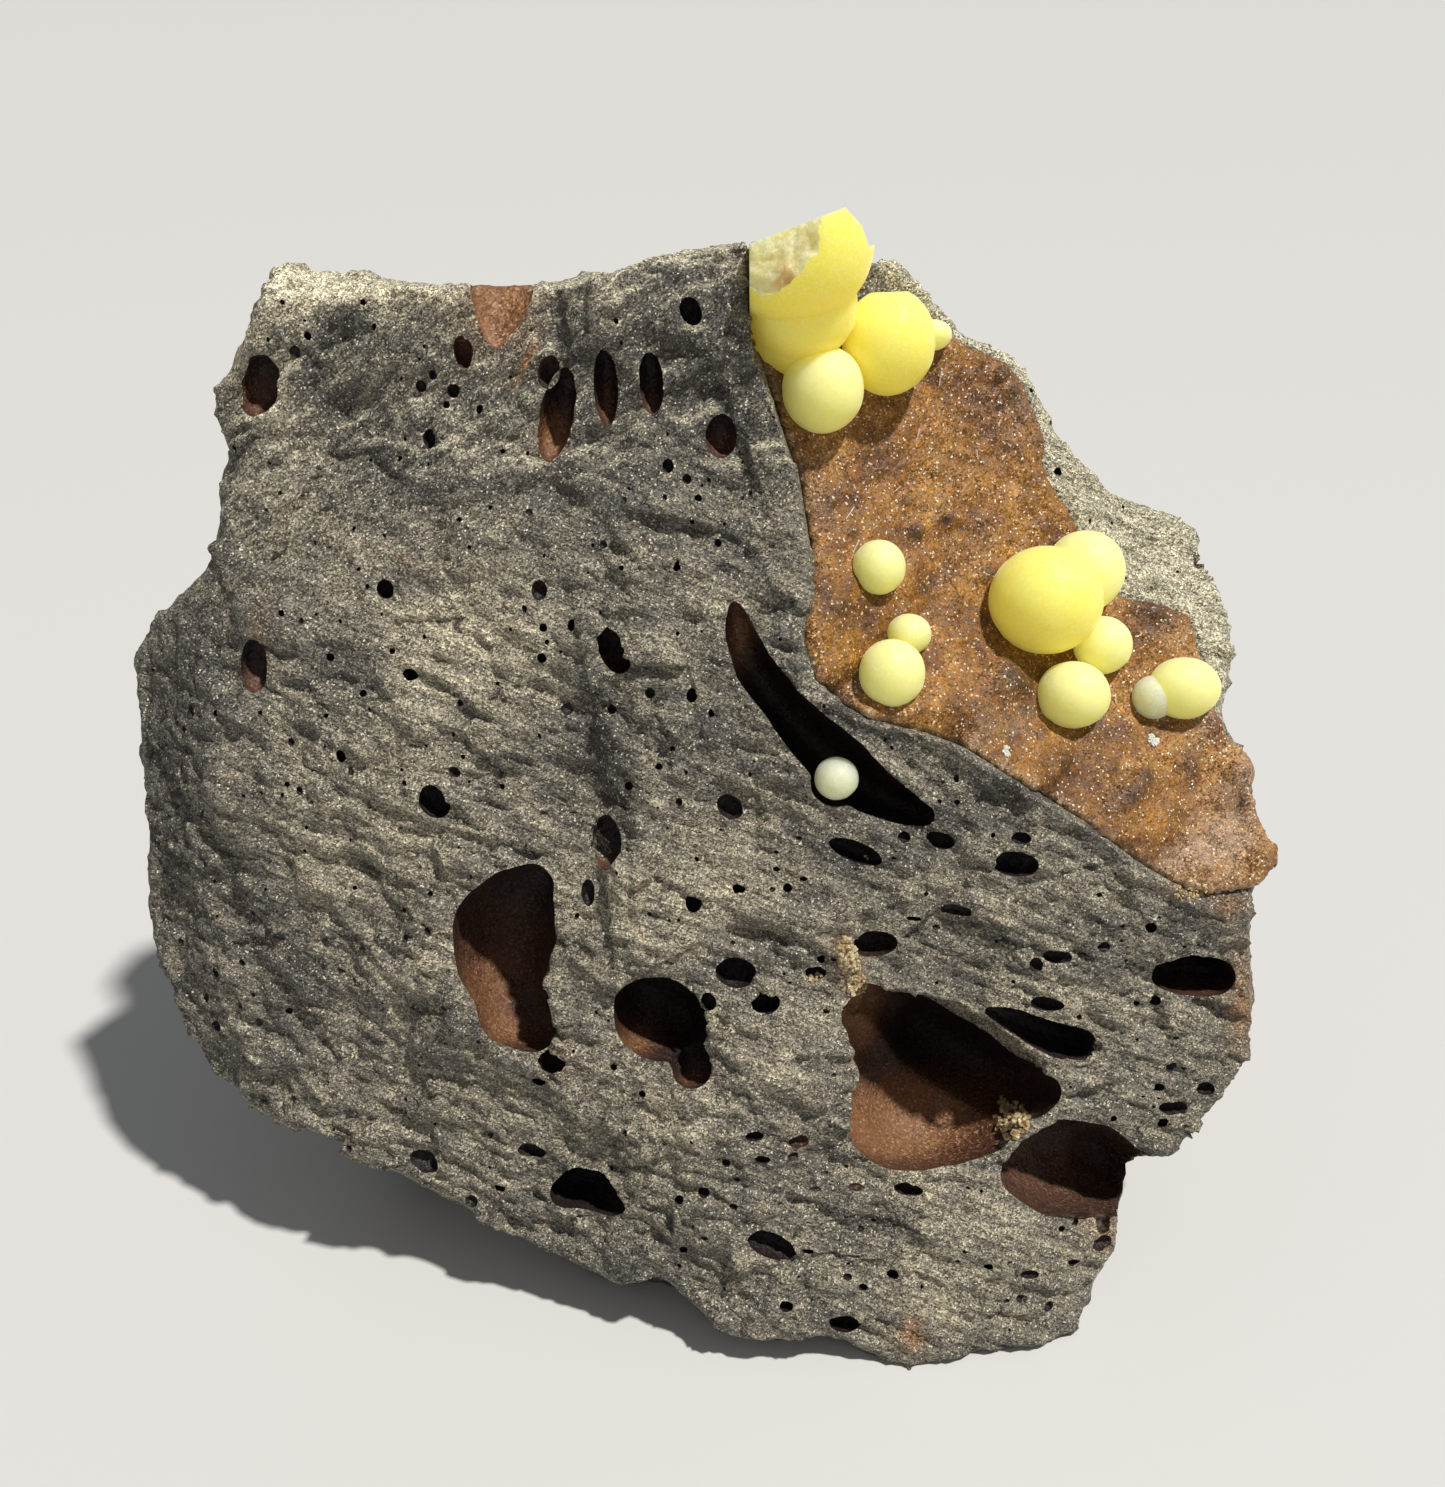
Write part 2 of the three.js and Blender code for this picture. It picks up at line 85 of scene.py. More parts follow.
def sightRay(u, v):
    way = rightward * (u * mm) + upward * (v * mm) - towards * sight["distance"]
    return way.normalized()


# The point seen at (u, v) that is w millimetres nearer to the eye than the sight distance.
def sightPoint(u, v, w):
    reach = sight["distance"] - w * mm
    scale = reach / sight["distance"] * mm
    return sight["eye"] + rightward * (u * scale) + upward * (v * scale) - towards * reach


# Where a point of the object is seen, and how near: u, v and w in millimetres.
def seenAt(point):
    way = point - sight["eye"]
    reach = -way.dot(towards)
    scale = sight["distance"] / reach / mm
    return way.dot(rightward) * scale, way.dot(upward) * scale, (sight["distance"] - reach) / mm


# The same as a picture point.
def pictureOf(point):
    u, v, _ = seenAt(point)
    points = sight["pointsPerMm"]
    return sight["middle"][0] + u * points, sight["middle"][1] - v * points


def makeCamera():
    width, height = sight["picture"]
    camera = bpy.data.cameras.new("camera")
    camera.lens = sight["lens"]
    camera.sensor_width = sight["sensor"]
    camera.clip_start, camera.clip_end = sight["clip"]
    camera.shift_x = (width / 2 - sight["middle"][0]) / height
    camera.shift_y = (sight["middle"][1] - height / 2) / height
    holder = bpy.data.objects.new("camera", camera)
    bpy.context.scene.collection.objects.link(holder)
    holder.location = sight["eye"]
    holder.rotation_euler = (math.pi / 2 - sight["down"], 0, 0)
    bpy.context.scene.camera = holder


def newPiece(name, bm, material):
    mesh = bpy.data.meshes.new(name)
    bm.to_mesh(mesh)
    bm.free()
    piece = bpy.data.objects.new(name, mesh)
    bpy.context.scene.collection.objects.link(piece)
    if material:
        mesh.materials.append(material)
    return piece


# A copy of a solid's mesh with its loose triangles joined.
def solidCopy(node, within=0.002 * mm):
    bm = bmesh.new()
    bm.from_mesh(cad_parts[node].data)
    bmesh.ops.remove_doubles(bm, verts=bm.verts, dist=within)
    return bm


def treeOf(piece):
    bm = bmesh.new()
    bm.from_mesh(piece.data)
    tree = BVHTree.FromBMesh(bm)
    bm.free()
    return tree


def applyModifiers(piece):
    graph = bpy.context.evaluated_depsgraph_get()
    made = bpy.data.meshes.new_from_object(piece.evaluated_get(graph))
    old = piece.data
    piece.modifiers.clear()
    piece.data = made
    made.name = piece.name
    bpy.data.meshes.remove(old)


def remesh(piece, size):
    modifier = piece.modifiers.new("remesh", "REMESH")
    modifier.mode = "VOXEL"
    modifier.voxel_size = size
    applyModifiers(piece)


def smooth(piece, times):
    modifier = piece.modifiers.new("smooth", "SMOOTH")
    modifier.iterations = times
    applyModifiers(piece)


def cut(piece, cutter, operation="DIFFERENCE"):
    modifier = piece.modifiers.new("cut", "BOOLEAN")
    modifier.operation = operation
    modifier.solver = "MANIFOLD"
    modifier.material_mode = "TRANSFER"
    modifier.object = cutter
    applyModifiers(piece)
    bpy.data.objects.remove(cutter)


# How far a point is from a line, and 1 if it is on the right of the line's direction, as seen with
# y upwards, or -1 on its left. A flipped line is given with y downwards.
def nearestOn(line, u, v, flipped=False):
    best = (1e9, 1)
    turn = -1 if flipped else 1
    for (au, av), (bu, bv) in zip(line, line[1:]):
        av, bv = turn * av, turn * bv
        du, dv = bu - au, bv - av
        part = ((u - au) * du + (v - av) * dv) / (du * du + dv * dv)
        along = min(1, max(0, part))
        away = math.hypot(u - au - du * along, v - av - dv * along)
        if away < best[0]:
            best = (away, 1 if du * (v - av) - dv * (u - au) < 0 else -1)
    return best


# Chips of a broken surface: each cell of a scattered pattern leans its own way.
def chips(point, size, seed):
    place = point / size
    nearest = noise.voronoi(place)[1][0]
    shift = Vector((seed, seed * 1.7, 0))
    lean = noise.noise_vector(nearest * 7.31 + shift)  # stretched, so that neighbours differ
    return lean.dot(place - nearest)


# Short ways to make and join a material's nodes.
class Look:
    def __init__(self, name, **values):
        self.material = bpy.data.materials.new(name)
        self.material.use_nodes = True
        self.tree = self.material.node_tree
        self.shader = self.tree.nodes["Principled BSDF"]
        for socket, value in values.items():
            self.put(self.shader.inputs[socket.replace("_", " ")], value)

    def put(self, socket, value):
        if isinstance(value, bpy.types.NodeSocket):
            self.tree.links.new(value, socket)
        elif isinstance(value, tuple) and len(value) == 3 and len(socket.default_value) == 4:
            socket.default_value = (*value, 1)
        else:
            socket.default_value = value

    def node(self, kind, inputs, **settings):
        made = self.tree.nodes.new("ShaderNode" + kind)
        for name, value in settings.items():
            setattr(made, name, value)
        for name, value in inputs.items():
            self.put(made.inputs[name], value)
        return made

    # Object coordinates in millimetres, turned and drawn out.
    def place(self, turn=(0, 0, 0), scale=(1, 1, 1)):
        where = self.node("TexCoord", {}).outputs["Object"]
        size = tuple(1000 * s for s in scale)
        turned = self.node("Mapping", {"Vector": where, "Rotation": turn})
        sized = self.node("Mapping", {"Vector": turned.outputs[0], "Scale": size})
        return sized.outputs[0]

    def noise(self, place, size, detail=3, roughness=0.55, distortion=0):
        values = {"Vector": place, "Scale": 1 / size, "Detail": detail, "Roughness": roughness}
        return self.node("TexNoise", {**values, "Distortion": distortion}).outputs["Fac"]

    def cells(self, place, size):
        return self.node("TexVoronoi", {"Vector": place, "Scale": 1 / size}).outputs["Color"]

    # All values added up or multiplied, or one raised to a power.
    def math(self, operation, first, *others):
        for other in others:
            first = self.node("Math", {0: first, 1: other}, operation=operation).outputs[0]
        return first

    def vector(self, operation, first, second=(0, 0, 0), scale=1.0):
        made = self.node("VectorMath", {0: first, 1: second, 3: scale}, operation=operation)
        return made.outputs[0]

    def parts(self, colour):
        return self.node("SeparateColor", {"Color": colour}).outputs

    # Leans a normal at random in each cell, as crystal faces do.
    def facets(self, cells, lean, before=None):
        before = before or self.node("NewGeometry", {}).outputs["Normal"]
        turned = self.vector("SUBTRACT", cells, (0.5, 0.5, 0.5))
        turned = self.vector("SCALE", turned, scale=lean)
        return self.vector("NORMALIZE", self.vector("ADD", before, turned))

    # Turns the range from low to high into the range from first to last.
    def spread(self, value, low, high, first=0.0, last=1.0):
        read = {"Value": value, "From Min": low, "From Max": high}
        return self.node("MapRange", {**read, "To Min": first, "To Max": last}).outputs[0]

    def mix(self, share, first, second):
        made = self.tree.nodes.new("ShaderNodeMix")
        made.data_type = "RGBA"
        for socket, value in ((0, share), (6, first), (7, second)):
            self.put(made.inputs[socket], value)
        return made.outputs[2]

    def attribute(self, name):
        return self.node("Attribute", {}, attribute_name=name).outputs["Fac"]

    # Adds a roughness, so many millimetres deep, to the normal that is there.
    def rough(self, height, depth, before=None):
        inputs = {"Height": height, "Distance": depth * mm, "Strength": 1.0}
        if before:
            inputs["Normal"] = before
        return self.node("Bump", inputs).outputs["Normal"]

    def wear(self, colour, roughness, normal):
        self.put(self.shader.inputs["Base Color"], colour)
        self.put(self.shader.inputs["Roughness"], roughness)
        self.put(self.shader.inputs["Normal"], normal)
        return self.material


# Four numbers in a look are a range that is read and the range that is made of it.
basaltLook = {
    "cool": (0.150, 0.138, 0.113),
    "warm": (0.300, 0.264, 0.186),
    "glint": (0.95, 0.88, 0.68),
    "pale": (0.52, 0.48, 0.35),
    "stain": (0.36, 0.165, 0.060),
    "patch": 3.4,
    "grain": 0.16, "grainLean": 1.0,
    "flake": 0.42, "flakeLean": 0.26,
    "streakSize": 0.5, "wideStreak": 1.5, "drawn": 0.17,
    "streakDepth": 0.46, "wideDepth": 0.8,
    "risingTurn": (0, math.radians(42), 0),
    "fallingTurn": (0, math.radians(-26), 0),
    "warmByPatch": (0.36, 0.64, 0.0, 0.6),
    "warmByStreak": (0.35, 0.65, -0.2, 0.2),
    "warmByTone": (0, 1, -0.6, 0.9),
    "grainPower": 1.8,
    "brightByGrain": (0, 1, 0.42, 2.0),
    "brightByFlake": (0, 1, 0.88, 1.12),
    "brightByStreak": (0.3, 0.7, 0.62, 1.38),
    "brightByWide": (0.3, 0.7, 0.74, 1.26),
    "brightByTone": (0, 1, 0.5, 1.7),
    "stainBright": (0.4, 1.6, 0.6, 1.5),
    "glintFrom": (0.94, 0.97), "glintShare": 0.75, "glintRoughness": (0, 1, 0.72, 0.3),
}


def basaltMaterial():
    look = Look("basalt")
    tones = basaltLook
    place = look.place()
    drawn = (tones["drawn"], 1, 1)
    ways = [look.place(tones[turn], drawn) for turn in ("fallingTurn", "risingTurn")]
    rising = look.attribute("rising")
    fine, wide = (
        look.parts(look.mix(rising, *(look.noise(way, size, 4, 0.65, 0.3) for way in ways)))[0]
        for size in (tones["streakSize"], tones["wideStreak"])
    )
    patch = look.noise(place, tones["patch"], 4, 0.6, 0.4)
    grain = look.cells(place, tones["grain"])
    flake = look.cells(place, tones["flake"])
    grainTone = look.parts(grain)
    # The tone carries painted light and shade from the face's patches, as well as the rock's own
    # mottle.
    tone = look.attribute("tone")

    share = look.math("ADD", look.spread(patch, *tones["warmByPatch"]),
                      look.spread(wide, *tones["warmByStreak"]),
                      look.spread(tone, *tones["warmByTone"]))
    colour = look.mix(look.spread(share, 0, 1), tones["cool"], tones["warm"])
    grained = look.math("POWER", grainTone[0], tones["grainPower"])
    bright = look.math("MULTIPLY", look.spread(grained, *tones["brightByGrain"]),
                       look.spread(look.parts(flake)[1], *tones["brightByFlake"]),
                       look.spread(fine, *tones["brightByStreak"]),
                       look.spread(wide, *tones["brightByWide"]),
                       look.spread(tone, *tones["brightByTone"]))
    colour = look.vector("SCALE", colour, scale=bright)
    # The pale attribute gives the pale broken rock by the crust, and a painted lit band along the
    # block's top.
    pale = look.vector("SCALE", tones["pale"], scale=bright)
    colour = look.mix(look.attribute("pale"), colour, pale)
    stain = look.vector("SCALE", tones["stain"], scale=look.spread(bright, *tones["stainBright"]))
    colour = look.mix(look.attribute("stain"), colour, stain)
    glint = look.spread(grainTone[1], *tones["glintFrom"])
    colour = look.mix(look.math("MULTIPLY", glint, tones["glintShare"]), colour, tones["glint"])
    roughness = look.spread(glint, *tones["glintRoughness"])
    normal = look.facets(flake, tones["flakeLean"])
    normal = look.facets(grain, tones["grainLean"], normal)
    normal = look.rough(wide, tones["wideDepth"], normal)
    normal = look.rough(fine, tones["streakDepth"], normal)
    return look.wear(colour, roughness, normal)


liningLook = {
    # The near-black is painted shadow and the light brown a painted lit copy of the brown, both
    # laid by the painted light in the hollows.
    "dark": (0.012, 0.008, 0.008),
    "brown": (0.110, 0.046, 0.022),
    "lit": (0.225, 0.104, 0.044),
    "dust": (0.50, 0.33, 0.20),
    "stain": (0.32, 0.150, 0.062),
    "broad": 3.0, "fine": 0.5, "grain": 0.2, "lean": 0.7, "depth": 0.2, "roughness": 0.55,
    "shadeByLight": (0.55, 1, 0, 1), "shadeByPlace": (0.3, 0.7, -0.3, 0.3),
    "paintedShadowByLight": (0, 0.6, 0.97, 0),
    "brightByFine": (0.3, 0.7, 0.75, 1.25), "brightByGrain": (0, 1, 0.75, 1.25),
    "dustByGrain": (0.88, 0.96, 0, 0.6), "dustByLight": (0, 1, 0.04, 1),
}


# The bubbles' lining: brown, painted lighter where light is painted and near-black as painted shade
# elsewhere.
def liningMaterial():
    look = Look("bubbleLining")
    tones = liningLook
    place = look.place()
    broad = look.noise(place, tones["broad"], 4, 0.6)
    fine = look.noise(place, tones["fine"], 3, 0.6)
    grain = look.cells(place, tones["grain"])
    speck = look.parts(grain)[0]
    lit = look.attribute("lit")
    shade = look.math("ADD", look.spread(lit, *tones["shadeByLight"]),
                      look.spread(broad, *tones["shadeByPlace"]))
    colour = look.mix(look.spread(shade, 0, 1), tones["brown"], tones["lit"])
    colour = look.mix(look.attribute("stain"), colour, tones["stain"])
    colour = look.mix(look.spread(lit, *tones["paintedShadowByLight"]), colour, tones["dark"])
    bright = look.math("MULTIPLY", look.spread(fine, *tones["brightByFine"]),
                       look.spread(speck, *tones["brightByGrain"]))
    colour = look.vector("SCALE", colour, scale=bright)
    # Pale dust specks, shown only where light is painted.
    dust = look.math("MULTIPLY", look.spread(speck, *tones["dustByGrain"]),
                     look.spread(lit, *tones["dustByLight"]))
    colour = look.mix(dust, colour, tones["dust"])
    normal = look.facets(grain, tones["lean"])
    normal = look.rough(fine, tones["depth"], normal)
    return look.wear(colour, tones["roughness"], normal)


basaltForm = {
    "voxel": 0.85 * mm,
    "most": 192000,
    "swellSize": 13, "swellHeight": 0.9,
    "lumpSize": 4.5, "lumpHeight": 0.5,
    "chips": [(5.2, 1.6, 1), (2.4, 0.78, 2), (1.1, 0.32, 3)],
    "chipDrawn": 1.8,
    "streakSize": 1.3, "streakDrawn": 4.5, "streakHeight": 0.58,
    "risingTurn": math.radians(42), "fallingTurn": math.radians(-24),
    # The placed relief lies on faces that look at the eye, and all is lower where they are seen
    # edge on.
    "placedFrom": 0.15, "placedSharp": 4,
    "outline": (-0.3, 0.25), "outlineHeight": (0.35, 0.65), "outlineSharp": 4,
    "hollowBlend": 0.3 * mm,
    "crustGap": 0.6, "crustBlend": 1.2,
}

# The large hollows' cutter. A face is lined that lies between two depths behind a mouth.
hollowForm = {
    "margin": 0.35, "marginShare": 0.02, "chainStep": 6, "detail": 3,
    "voxel": 0.4 * mm, "smoothing": 6,
    "linedBeside": 3, "linedFrom": 1.0, "linedTo": 16,
}

# The small bubbles. A depth is a share of the mouth's size and some more, in millimetres.
pitForm = {
    "seed": 7, "depth": (0.085, 0.3), "margin": 0.05 * mm, "sunk": 0.4,
    "finer": 16, "finest": 40,  # lengths from which a bubble has more faces
}
tinyPits = {
    "most": 210, "tries": 6, "x": (150, 1240), "y": (290, 1360),
    "widths": (3, 3.5, 4, 4, 5, 6), "drawn": (1, 1.7), "depth": (0.08, 0.25),
    "turn": (-20, 40), "lowerRight": (700, 800), "lowerRightTurn": 85,
    "fromFloor": 2 * mm, "fromCrust": 1 * mm, "fromHollow": 0.5 * mm,
}
backPits = {
    "most": 130, "tries": 8, "ways": ((-1, 1), (-0.2, 1), (-0.7, 0.9)),
    "around": Vector((0, 0, 50 * mm)), "outside": 0.3,
    "radius": (0.35, 1.9), "drawn": (1, 1.5), "deep": 1.1, "sunk": 0.35, "finer": 1 * mm,
    "fromFloor": 4 * mm, "unseen": -0.05, "flattest": 0.8,
    "clear": 1.4, "taken": 1.5,  # room around each, by its radius
}

# Where the block's edge stands out more: x, y and reach in picture points, and millimetres right
# and up.
basaltPulls = [
    (272, 266, 46, 0.4, 2.6), (340, 285, 40, 0, 0.6), (888, 278, 40, 0.4, 3.6),
    (930, 312, 36, 1.4, 1.6), (1000, 360, 60, 0.9, 0.9), (1120, 480, 70, 0.6, 0.9),
    (1200, 560, 60, 0.9, 0.5), (1186, 540, 32, 0.8, 1.8), (1215, 660, 50, 0.8, 0),
    (620, 1290, 40, 0, -0.3),
]

# Bubbles that the break cut open, each as a chain of balls: x, y and width in picture points, and
# depth in millimetres.
hollows = {
    "lowerLeft": [
        (532, 886, 40, 8), (516, 906, 70, 9.5), (506, 930, 94, 10), (504, 955, 84, 9.5),
        (510, 982, 66, 8.5), (518, 1006, 70, 7.5), (534, 1022, 48, 6.5),
    ],
    "middle": [(641, 1003, 46, 8), (658, 1016, 78, 9.5), (682, 1024, 50, 8)],
    "middleTail": [(692, 1066, 34, 5)],
    "long": [
        (866, 996, 22, 5), (885, 1008, 40, 8), (922, 1034, 62, 11), (958, 1060, 72, 12),
        (994, 1082, 60, 11), (1024, 1088, 42, 9), (1040, 1088, 30, 6),
    ],
    "longLobe": [
        (858, 1014, 30, 4), (868, 1036, 42, 6), (886, 1064, 48, 7), (903, 1106, 112, 9),
        (938, 1114, 90, 9), (982, 1120, 50, 7),
    ],
    "tapered": [
        (990, 1011, 8, 2.5), (1012, 1019, 17, 4), (1038, 1031, 24, 5.5), (1060, 1040, 28, 6),
        (1078, 1044, 27, 6),
    ],
    "lowerRight": [
        (1016, 1172, 30, 6), (1036, 1168, 58, 9), (1060, 1166, 84, 11), (1084, 1166, 84, 12),
        (1106, 1172, 66, 12), (1124, 1176, 56, 12),
    ],
    "rightEdge": [(1166, 973, 24, 5), (1182, 973, 34, 7), (1202, 974, 34, 7), (1214, 975, 28, 6)],
    "slit": [
        (735, 608, 10, 3), (741, 634, 26, 5), (755, 668, 34, 7), (781, 704, 37, 8),
        (811, 736, 44, 9), (840, 764, 52, 9), (870, 788, 44, 8), (900, 805, 30, 6),
        (922, 814, 18, 4),
    ],
    "pairShaded": [
        (564, 1190, 20, 5), (580, 1187, 34, 7), (594, 1190, 36, 7), (607, 1202, 20, 5),
        (617, 1206, 13, 4),
    ],
    "ballSeat": [(836, 778, 50, 5)],
    "scoop": [
        (502, 284, 54, 1.8), (501, 298, 48, 1.7), (499, 314, 36, 1.4), (497, 330, 22, 1.0),
        (496, 342, 10, 0.6),
    ],
}

# Where light is painted on the bubbles' lining, light brown, while the rest is painted dark as
# shade: x, y, half width, half height, turn and share.
paintedLightInHollows = [
    (486, 986, 40, 66, -12, 0.85), (514, 1032, 28, 16, 0, 0.7), (634, 1042, 30, 20, 35, 0.85),
    (692, 1078, 14, 10, 0, 0.7), (852, 1024, 24, 44, -25, 1.6), (908, 1118, 80, 44, 8, 1.6),
    (738, 640, 14, 46, -12, 1.1), (500, 312, 44, 50, 0, 1.8), (554, 438, 16, 24, -10, 1.3),
    (606, 406, 8, 20, 0, 0.8), (650, 404, 8, 16, 0, 0.6), (258, 398, 18, 20, 0, 0.8),
    (719, 446, 14, 14, 0, 0.6), (1056, 1176, 80, 44, 0, 0.45), (600, 858, 10, 12, 0, 0.7),
    (608, 662, 12, 12, 0, 0.4), (1196, 990, 30, 12, 0, 0.4), (252, 682, 12, 14, 0, 0.5),
]

# Relief of the broken face: lines of picture points, the height in millimetres by which the face is
# higher on the right of the line's direction, the width of the step and how far it is felt.
faceSteps = [
    ([(310, 268), (303, 305), (318, 335), (300, 372)], 0.7, 0.8, 7),
    ([(590, 288), (588, 330), (606, 350)], -1.0, 0.4, 5),
    ([(606, 342), (640, 331), (672, 336), (706, 352), (724, 392), (742, 440)], -1.5, 0.7, 6),
    ([(560, 300), (566, 330), (588, 350)], -0.7, 0.5, 4),
    ([(600, 430), (626, 428), (632, 455), (608, 464)], -0.6, 0.5, 2.5),
    ([(652, 520), (680, 514), (712, 530), (706, 556), (676, 560)], -0.9, 0.6, 3),
    ([(228, 596), (242, 640), (238, 700), (204, 705), (208, 780), (222, 830)], -1.2, 1.2, 8),
    ([(222, 830), (258, 860), (330, 905), (346, 935)], -0.9, 1.0, 6),
    ([(262, 640), (345, 655), (392, 706)], -0.7, 0.8, 5),
    ([(440, 700), (392, 712), (330, 700)], -0.7, 0.9, 5),
    ([(592, 700), (600, 740), (606, 800), (610, 868)], -1.8, 0.9, 6),
    ([(632, 730), (628, 800), (632, 868)], -0.8, 0.5, 4),
    ([(656, 690), (664, 738)], -0.6, 0.3, 2),
    ([(330, 948), (400, 962), (452, 958)], 1.2, 1.0, 6),
    ([(258, 912), (282, 960), (306, 1002)], -0.9, 0.6, 5),
    ([(178, 890), (212, 950)], -0.7, 0.6, 4),
    ([(690, 946), (728, 926), (772, 926), (812, 946)], -1.2, 0.8, 5),
    ([(716, 1050), (760, 1086), (800, 1104), (824, 1118)], -0.9, 0.5, 5),
    ([(590, 1216), (640, 1214), (690, 1252)], -1.2, 1.0, 6),
    ([(760, 1302), (800, 1242), (850, 1200), (934, 1166), (1000, 1164)], 1.0, 0.6, 5),
    ([(812, 1244), (862, 1252), (908, 1216)], 0.8, 0.6, 4),
    ([(920, 742), (1010, 790), (1100, 846), (1140, 872)], -0.9, 0.8, 5),
    ([(880, 760), (1000, 826), (1060, 868), (1130, 862)], 0.9, 0.7, 4),
    ([(1128, 866), (1134, 930), (1154, 990)], -1.0, 0.8, 6),
    ([(900, 900), (980, 880), (1060, 872)], -0.8, 0.5, 4),
    ([(486, 492), (520, 480), (556, 480), (590, 500), (612, 530)], -1.0, 0.5, 4),
    ([(392, 470), (418, 492), (452, 488)], -0.8, 0.4, 3),
    ([(290, 440), (340, 400), (420, 372)], -0.6, 1.0, 5),
    ([(330, 470), (400, 430), (430, 400)], 0.6, 0.8, 4),
    ([(450, 560), (500, 545), (560, 556)], 0.6, 0.6, 4),
    ([(206, 480), (250, 486), (270, 500)], 0.7, 0.5, 3),
    ([(640, 600), (700, 590), (760, 606)], 0.7, 0.6, 4),
]

# Rounded rises and dents: x, y, half width, half height, turn in degrees, and height.
faceSwells = [
    (690, 1140, 16, 55, -8, 0.9), (625, 886, 22, 26, 10, 0.8), (800, 925, 60, 22, -35, 1.0),
    (430, 680, 60, 46, 30, 0.9), (300, 800, 90, 60, 0, 0.8), (650, 310, 60, 26, 0, -0.5),
    (745, 400, 24, 60, 15, -0.8), (340, 420, 60, 40, 35, -0.7), (480, 1080, 70, 90, 0, -0.5),
    (1000, 1240, 80, 40, 0, 0.7), (1180, 1060, 50, 60, 0, 0.4), (560, 640, 50, 50, 0, 0.5),
    (860, 900, 50, 20, -20, 0.6), (1090, 910, 50, 26, -20, 0.5), (870, 1225, 38, 20, 25, -0.7),
    (600, 960, 40, 60, 10, 0.7), (265, 320, 26, 40, -20, 0.6),
]

# Lighter and darker places of the face, partly the rock's own tone and partly painted light and
# shade where it turns to or from the light, with a painted lit band along the top edge: x, y, half
# width, half height, turn, and how much.
toneAndShadePatches = [
    (465, 655, 110, 60, 25, 0.45), (350, 820, 120, 90, 20, 0.25), (700, 905, 90, 55, 25, 0.35),
    (790, 1045, 60, 60, 0, 0.3), (670, 1120, 46, 50, 0, 0.4), (1000, 1250, 120, 60, 0, 0.25),
    (1085, 1010, 90, 60, 20, 0.2), (1060, 890, 110, 22, 12, 0.2), (930, 1190, 100, 26, -12, 0.25),
    (300, 300, 34, 26, 30, 0.7), (258, 360, 24, 60, 28, 0.6), (262, 470, 40, 80, 0, 0.25),
    (420, 300, 120, 12, 3, 0.3), (620, 885, 24, 50, 15, 0.3), (560, 300, 30, 10, 0, 0.3),
    (395, 970, 70, 22, 20, 0.25), (730, 598, 50, 16, 5, 0.3), (500, 560, 60, 60, 0, 0.15),
    (305, 280, 46, 9, -14, 1.1), (400, 293, 80, 6, -3, 0.8), (188, 720, 44, 150, -8, -0.4),
    (340, 325, 34, 24, -20, -0.45), (350, 430, 120, 34, -38, -0.35),
    (690, 345, 85, 60, 10, -0.35), (722, 420, 34, 50, 10, -0.35), (345, 676, 46, 34, 30, -0.4),
    (602, 735, 26, 46, 10, -0.55), (618, 800, 14, 50, 10, -0.6), (705, 745, 50, 44, 30, -0.25),
    (745, 965, 46, 24, 10, -0.3), (870, 700, 70, 22, 38, -0.4), (1000, 800, 120, 24, 30, -0.35),
    (865, 1225, 44, 32, -10, -0.35), (500, 1120, 130, 80, 10, 0.1), (620, 1255, 80, 40, 10, -0.15),
    (250, 900, 50, 60, 30, -0.3), (300, 985, 34, 34, 30, -0.3), (555, 485, 40, 20, 10, -0.3),
    (640, 475, 90, 80, 0, -0.3), (570, 330, 22, 40, 0, -0.35), (1180, 945, 40, 40, 0, -0.3),
    (930, 1290, 60, 40, 0, 0.2), (1105, 940, 26, 40, 20, -0.3), (820, 1160, 40, 30, 0, -0.2),
]

# Brown stains, in the same way.
faceStains = [
    (500, 310, 30, 36, 0, 0.8), (526, 362, 4, 24, -28, 1.0), (553, 432, 12, 22, -12, 0.5),
    (848, 962, 14, 30, 10, 0.6), (1240, 1000, 12, 46, 0, 0.8), (1228, 905, 20, 14, 0, 0.7),
    (912, 1336, 12, 18, 0, 0.9), (1186, 885, 20, 10, 20, 0.5), (562, 1060, 22, 16, 20, 0.25),
    (1103, 1232, 14, 20, 0, 0.5), (400, 560, 10, 10, 0, 0.25), (260, 640, 8, 40, 0, 0.3),
]

# The pale broken basalt lies on the right of this line, and above it.
paleEdge = [
    (864, 200), (864, 245), (900, 295), (949, 334), (1006, 364), (1025, 387), (1046, 440),
    (1044, 462), (1053, 490), (1067, 509), (1096, 565), (1120, 597), (1152, 603), (1188, 614),
    (1206, 664), (1216, 716), (1250, 736), (1300, 820),
]

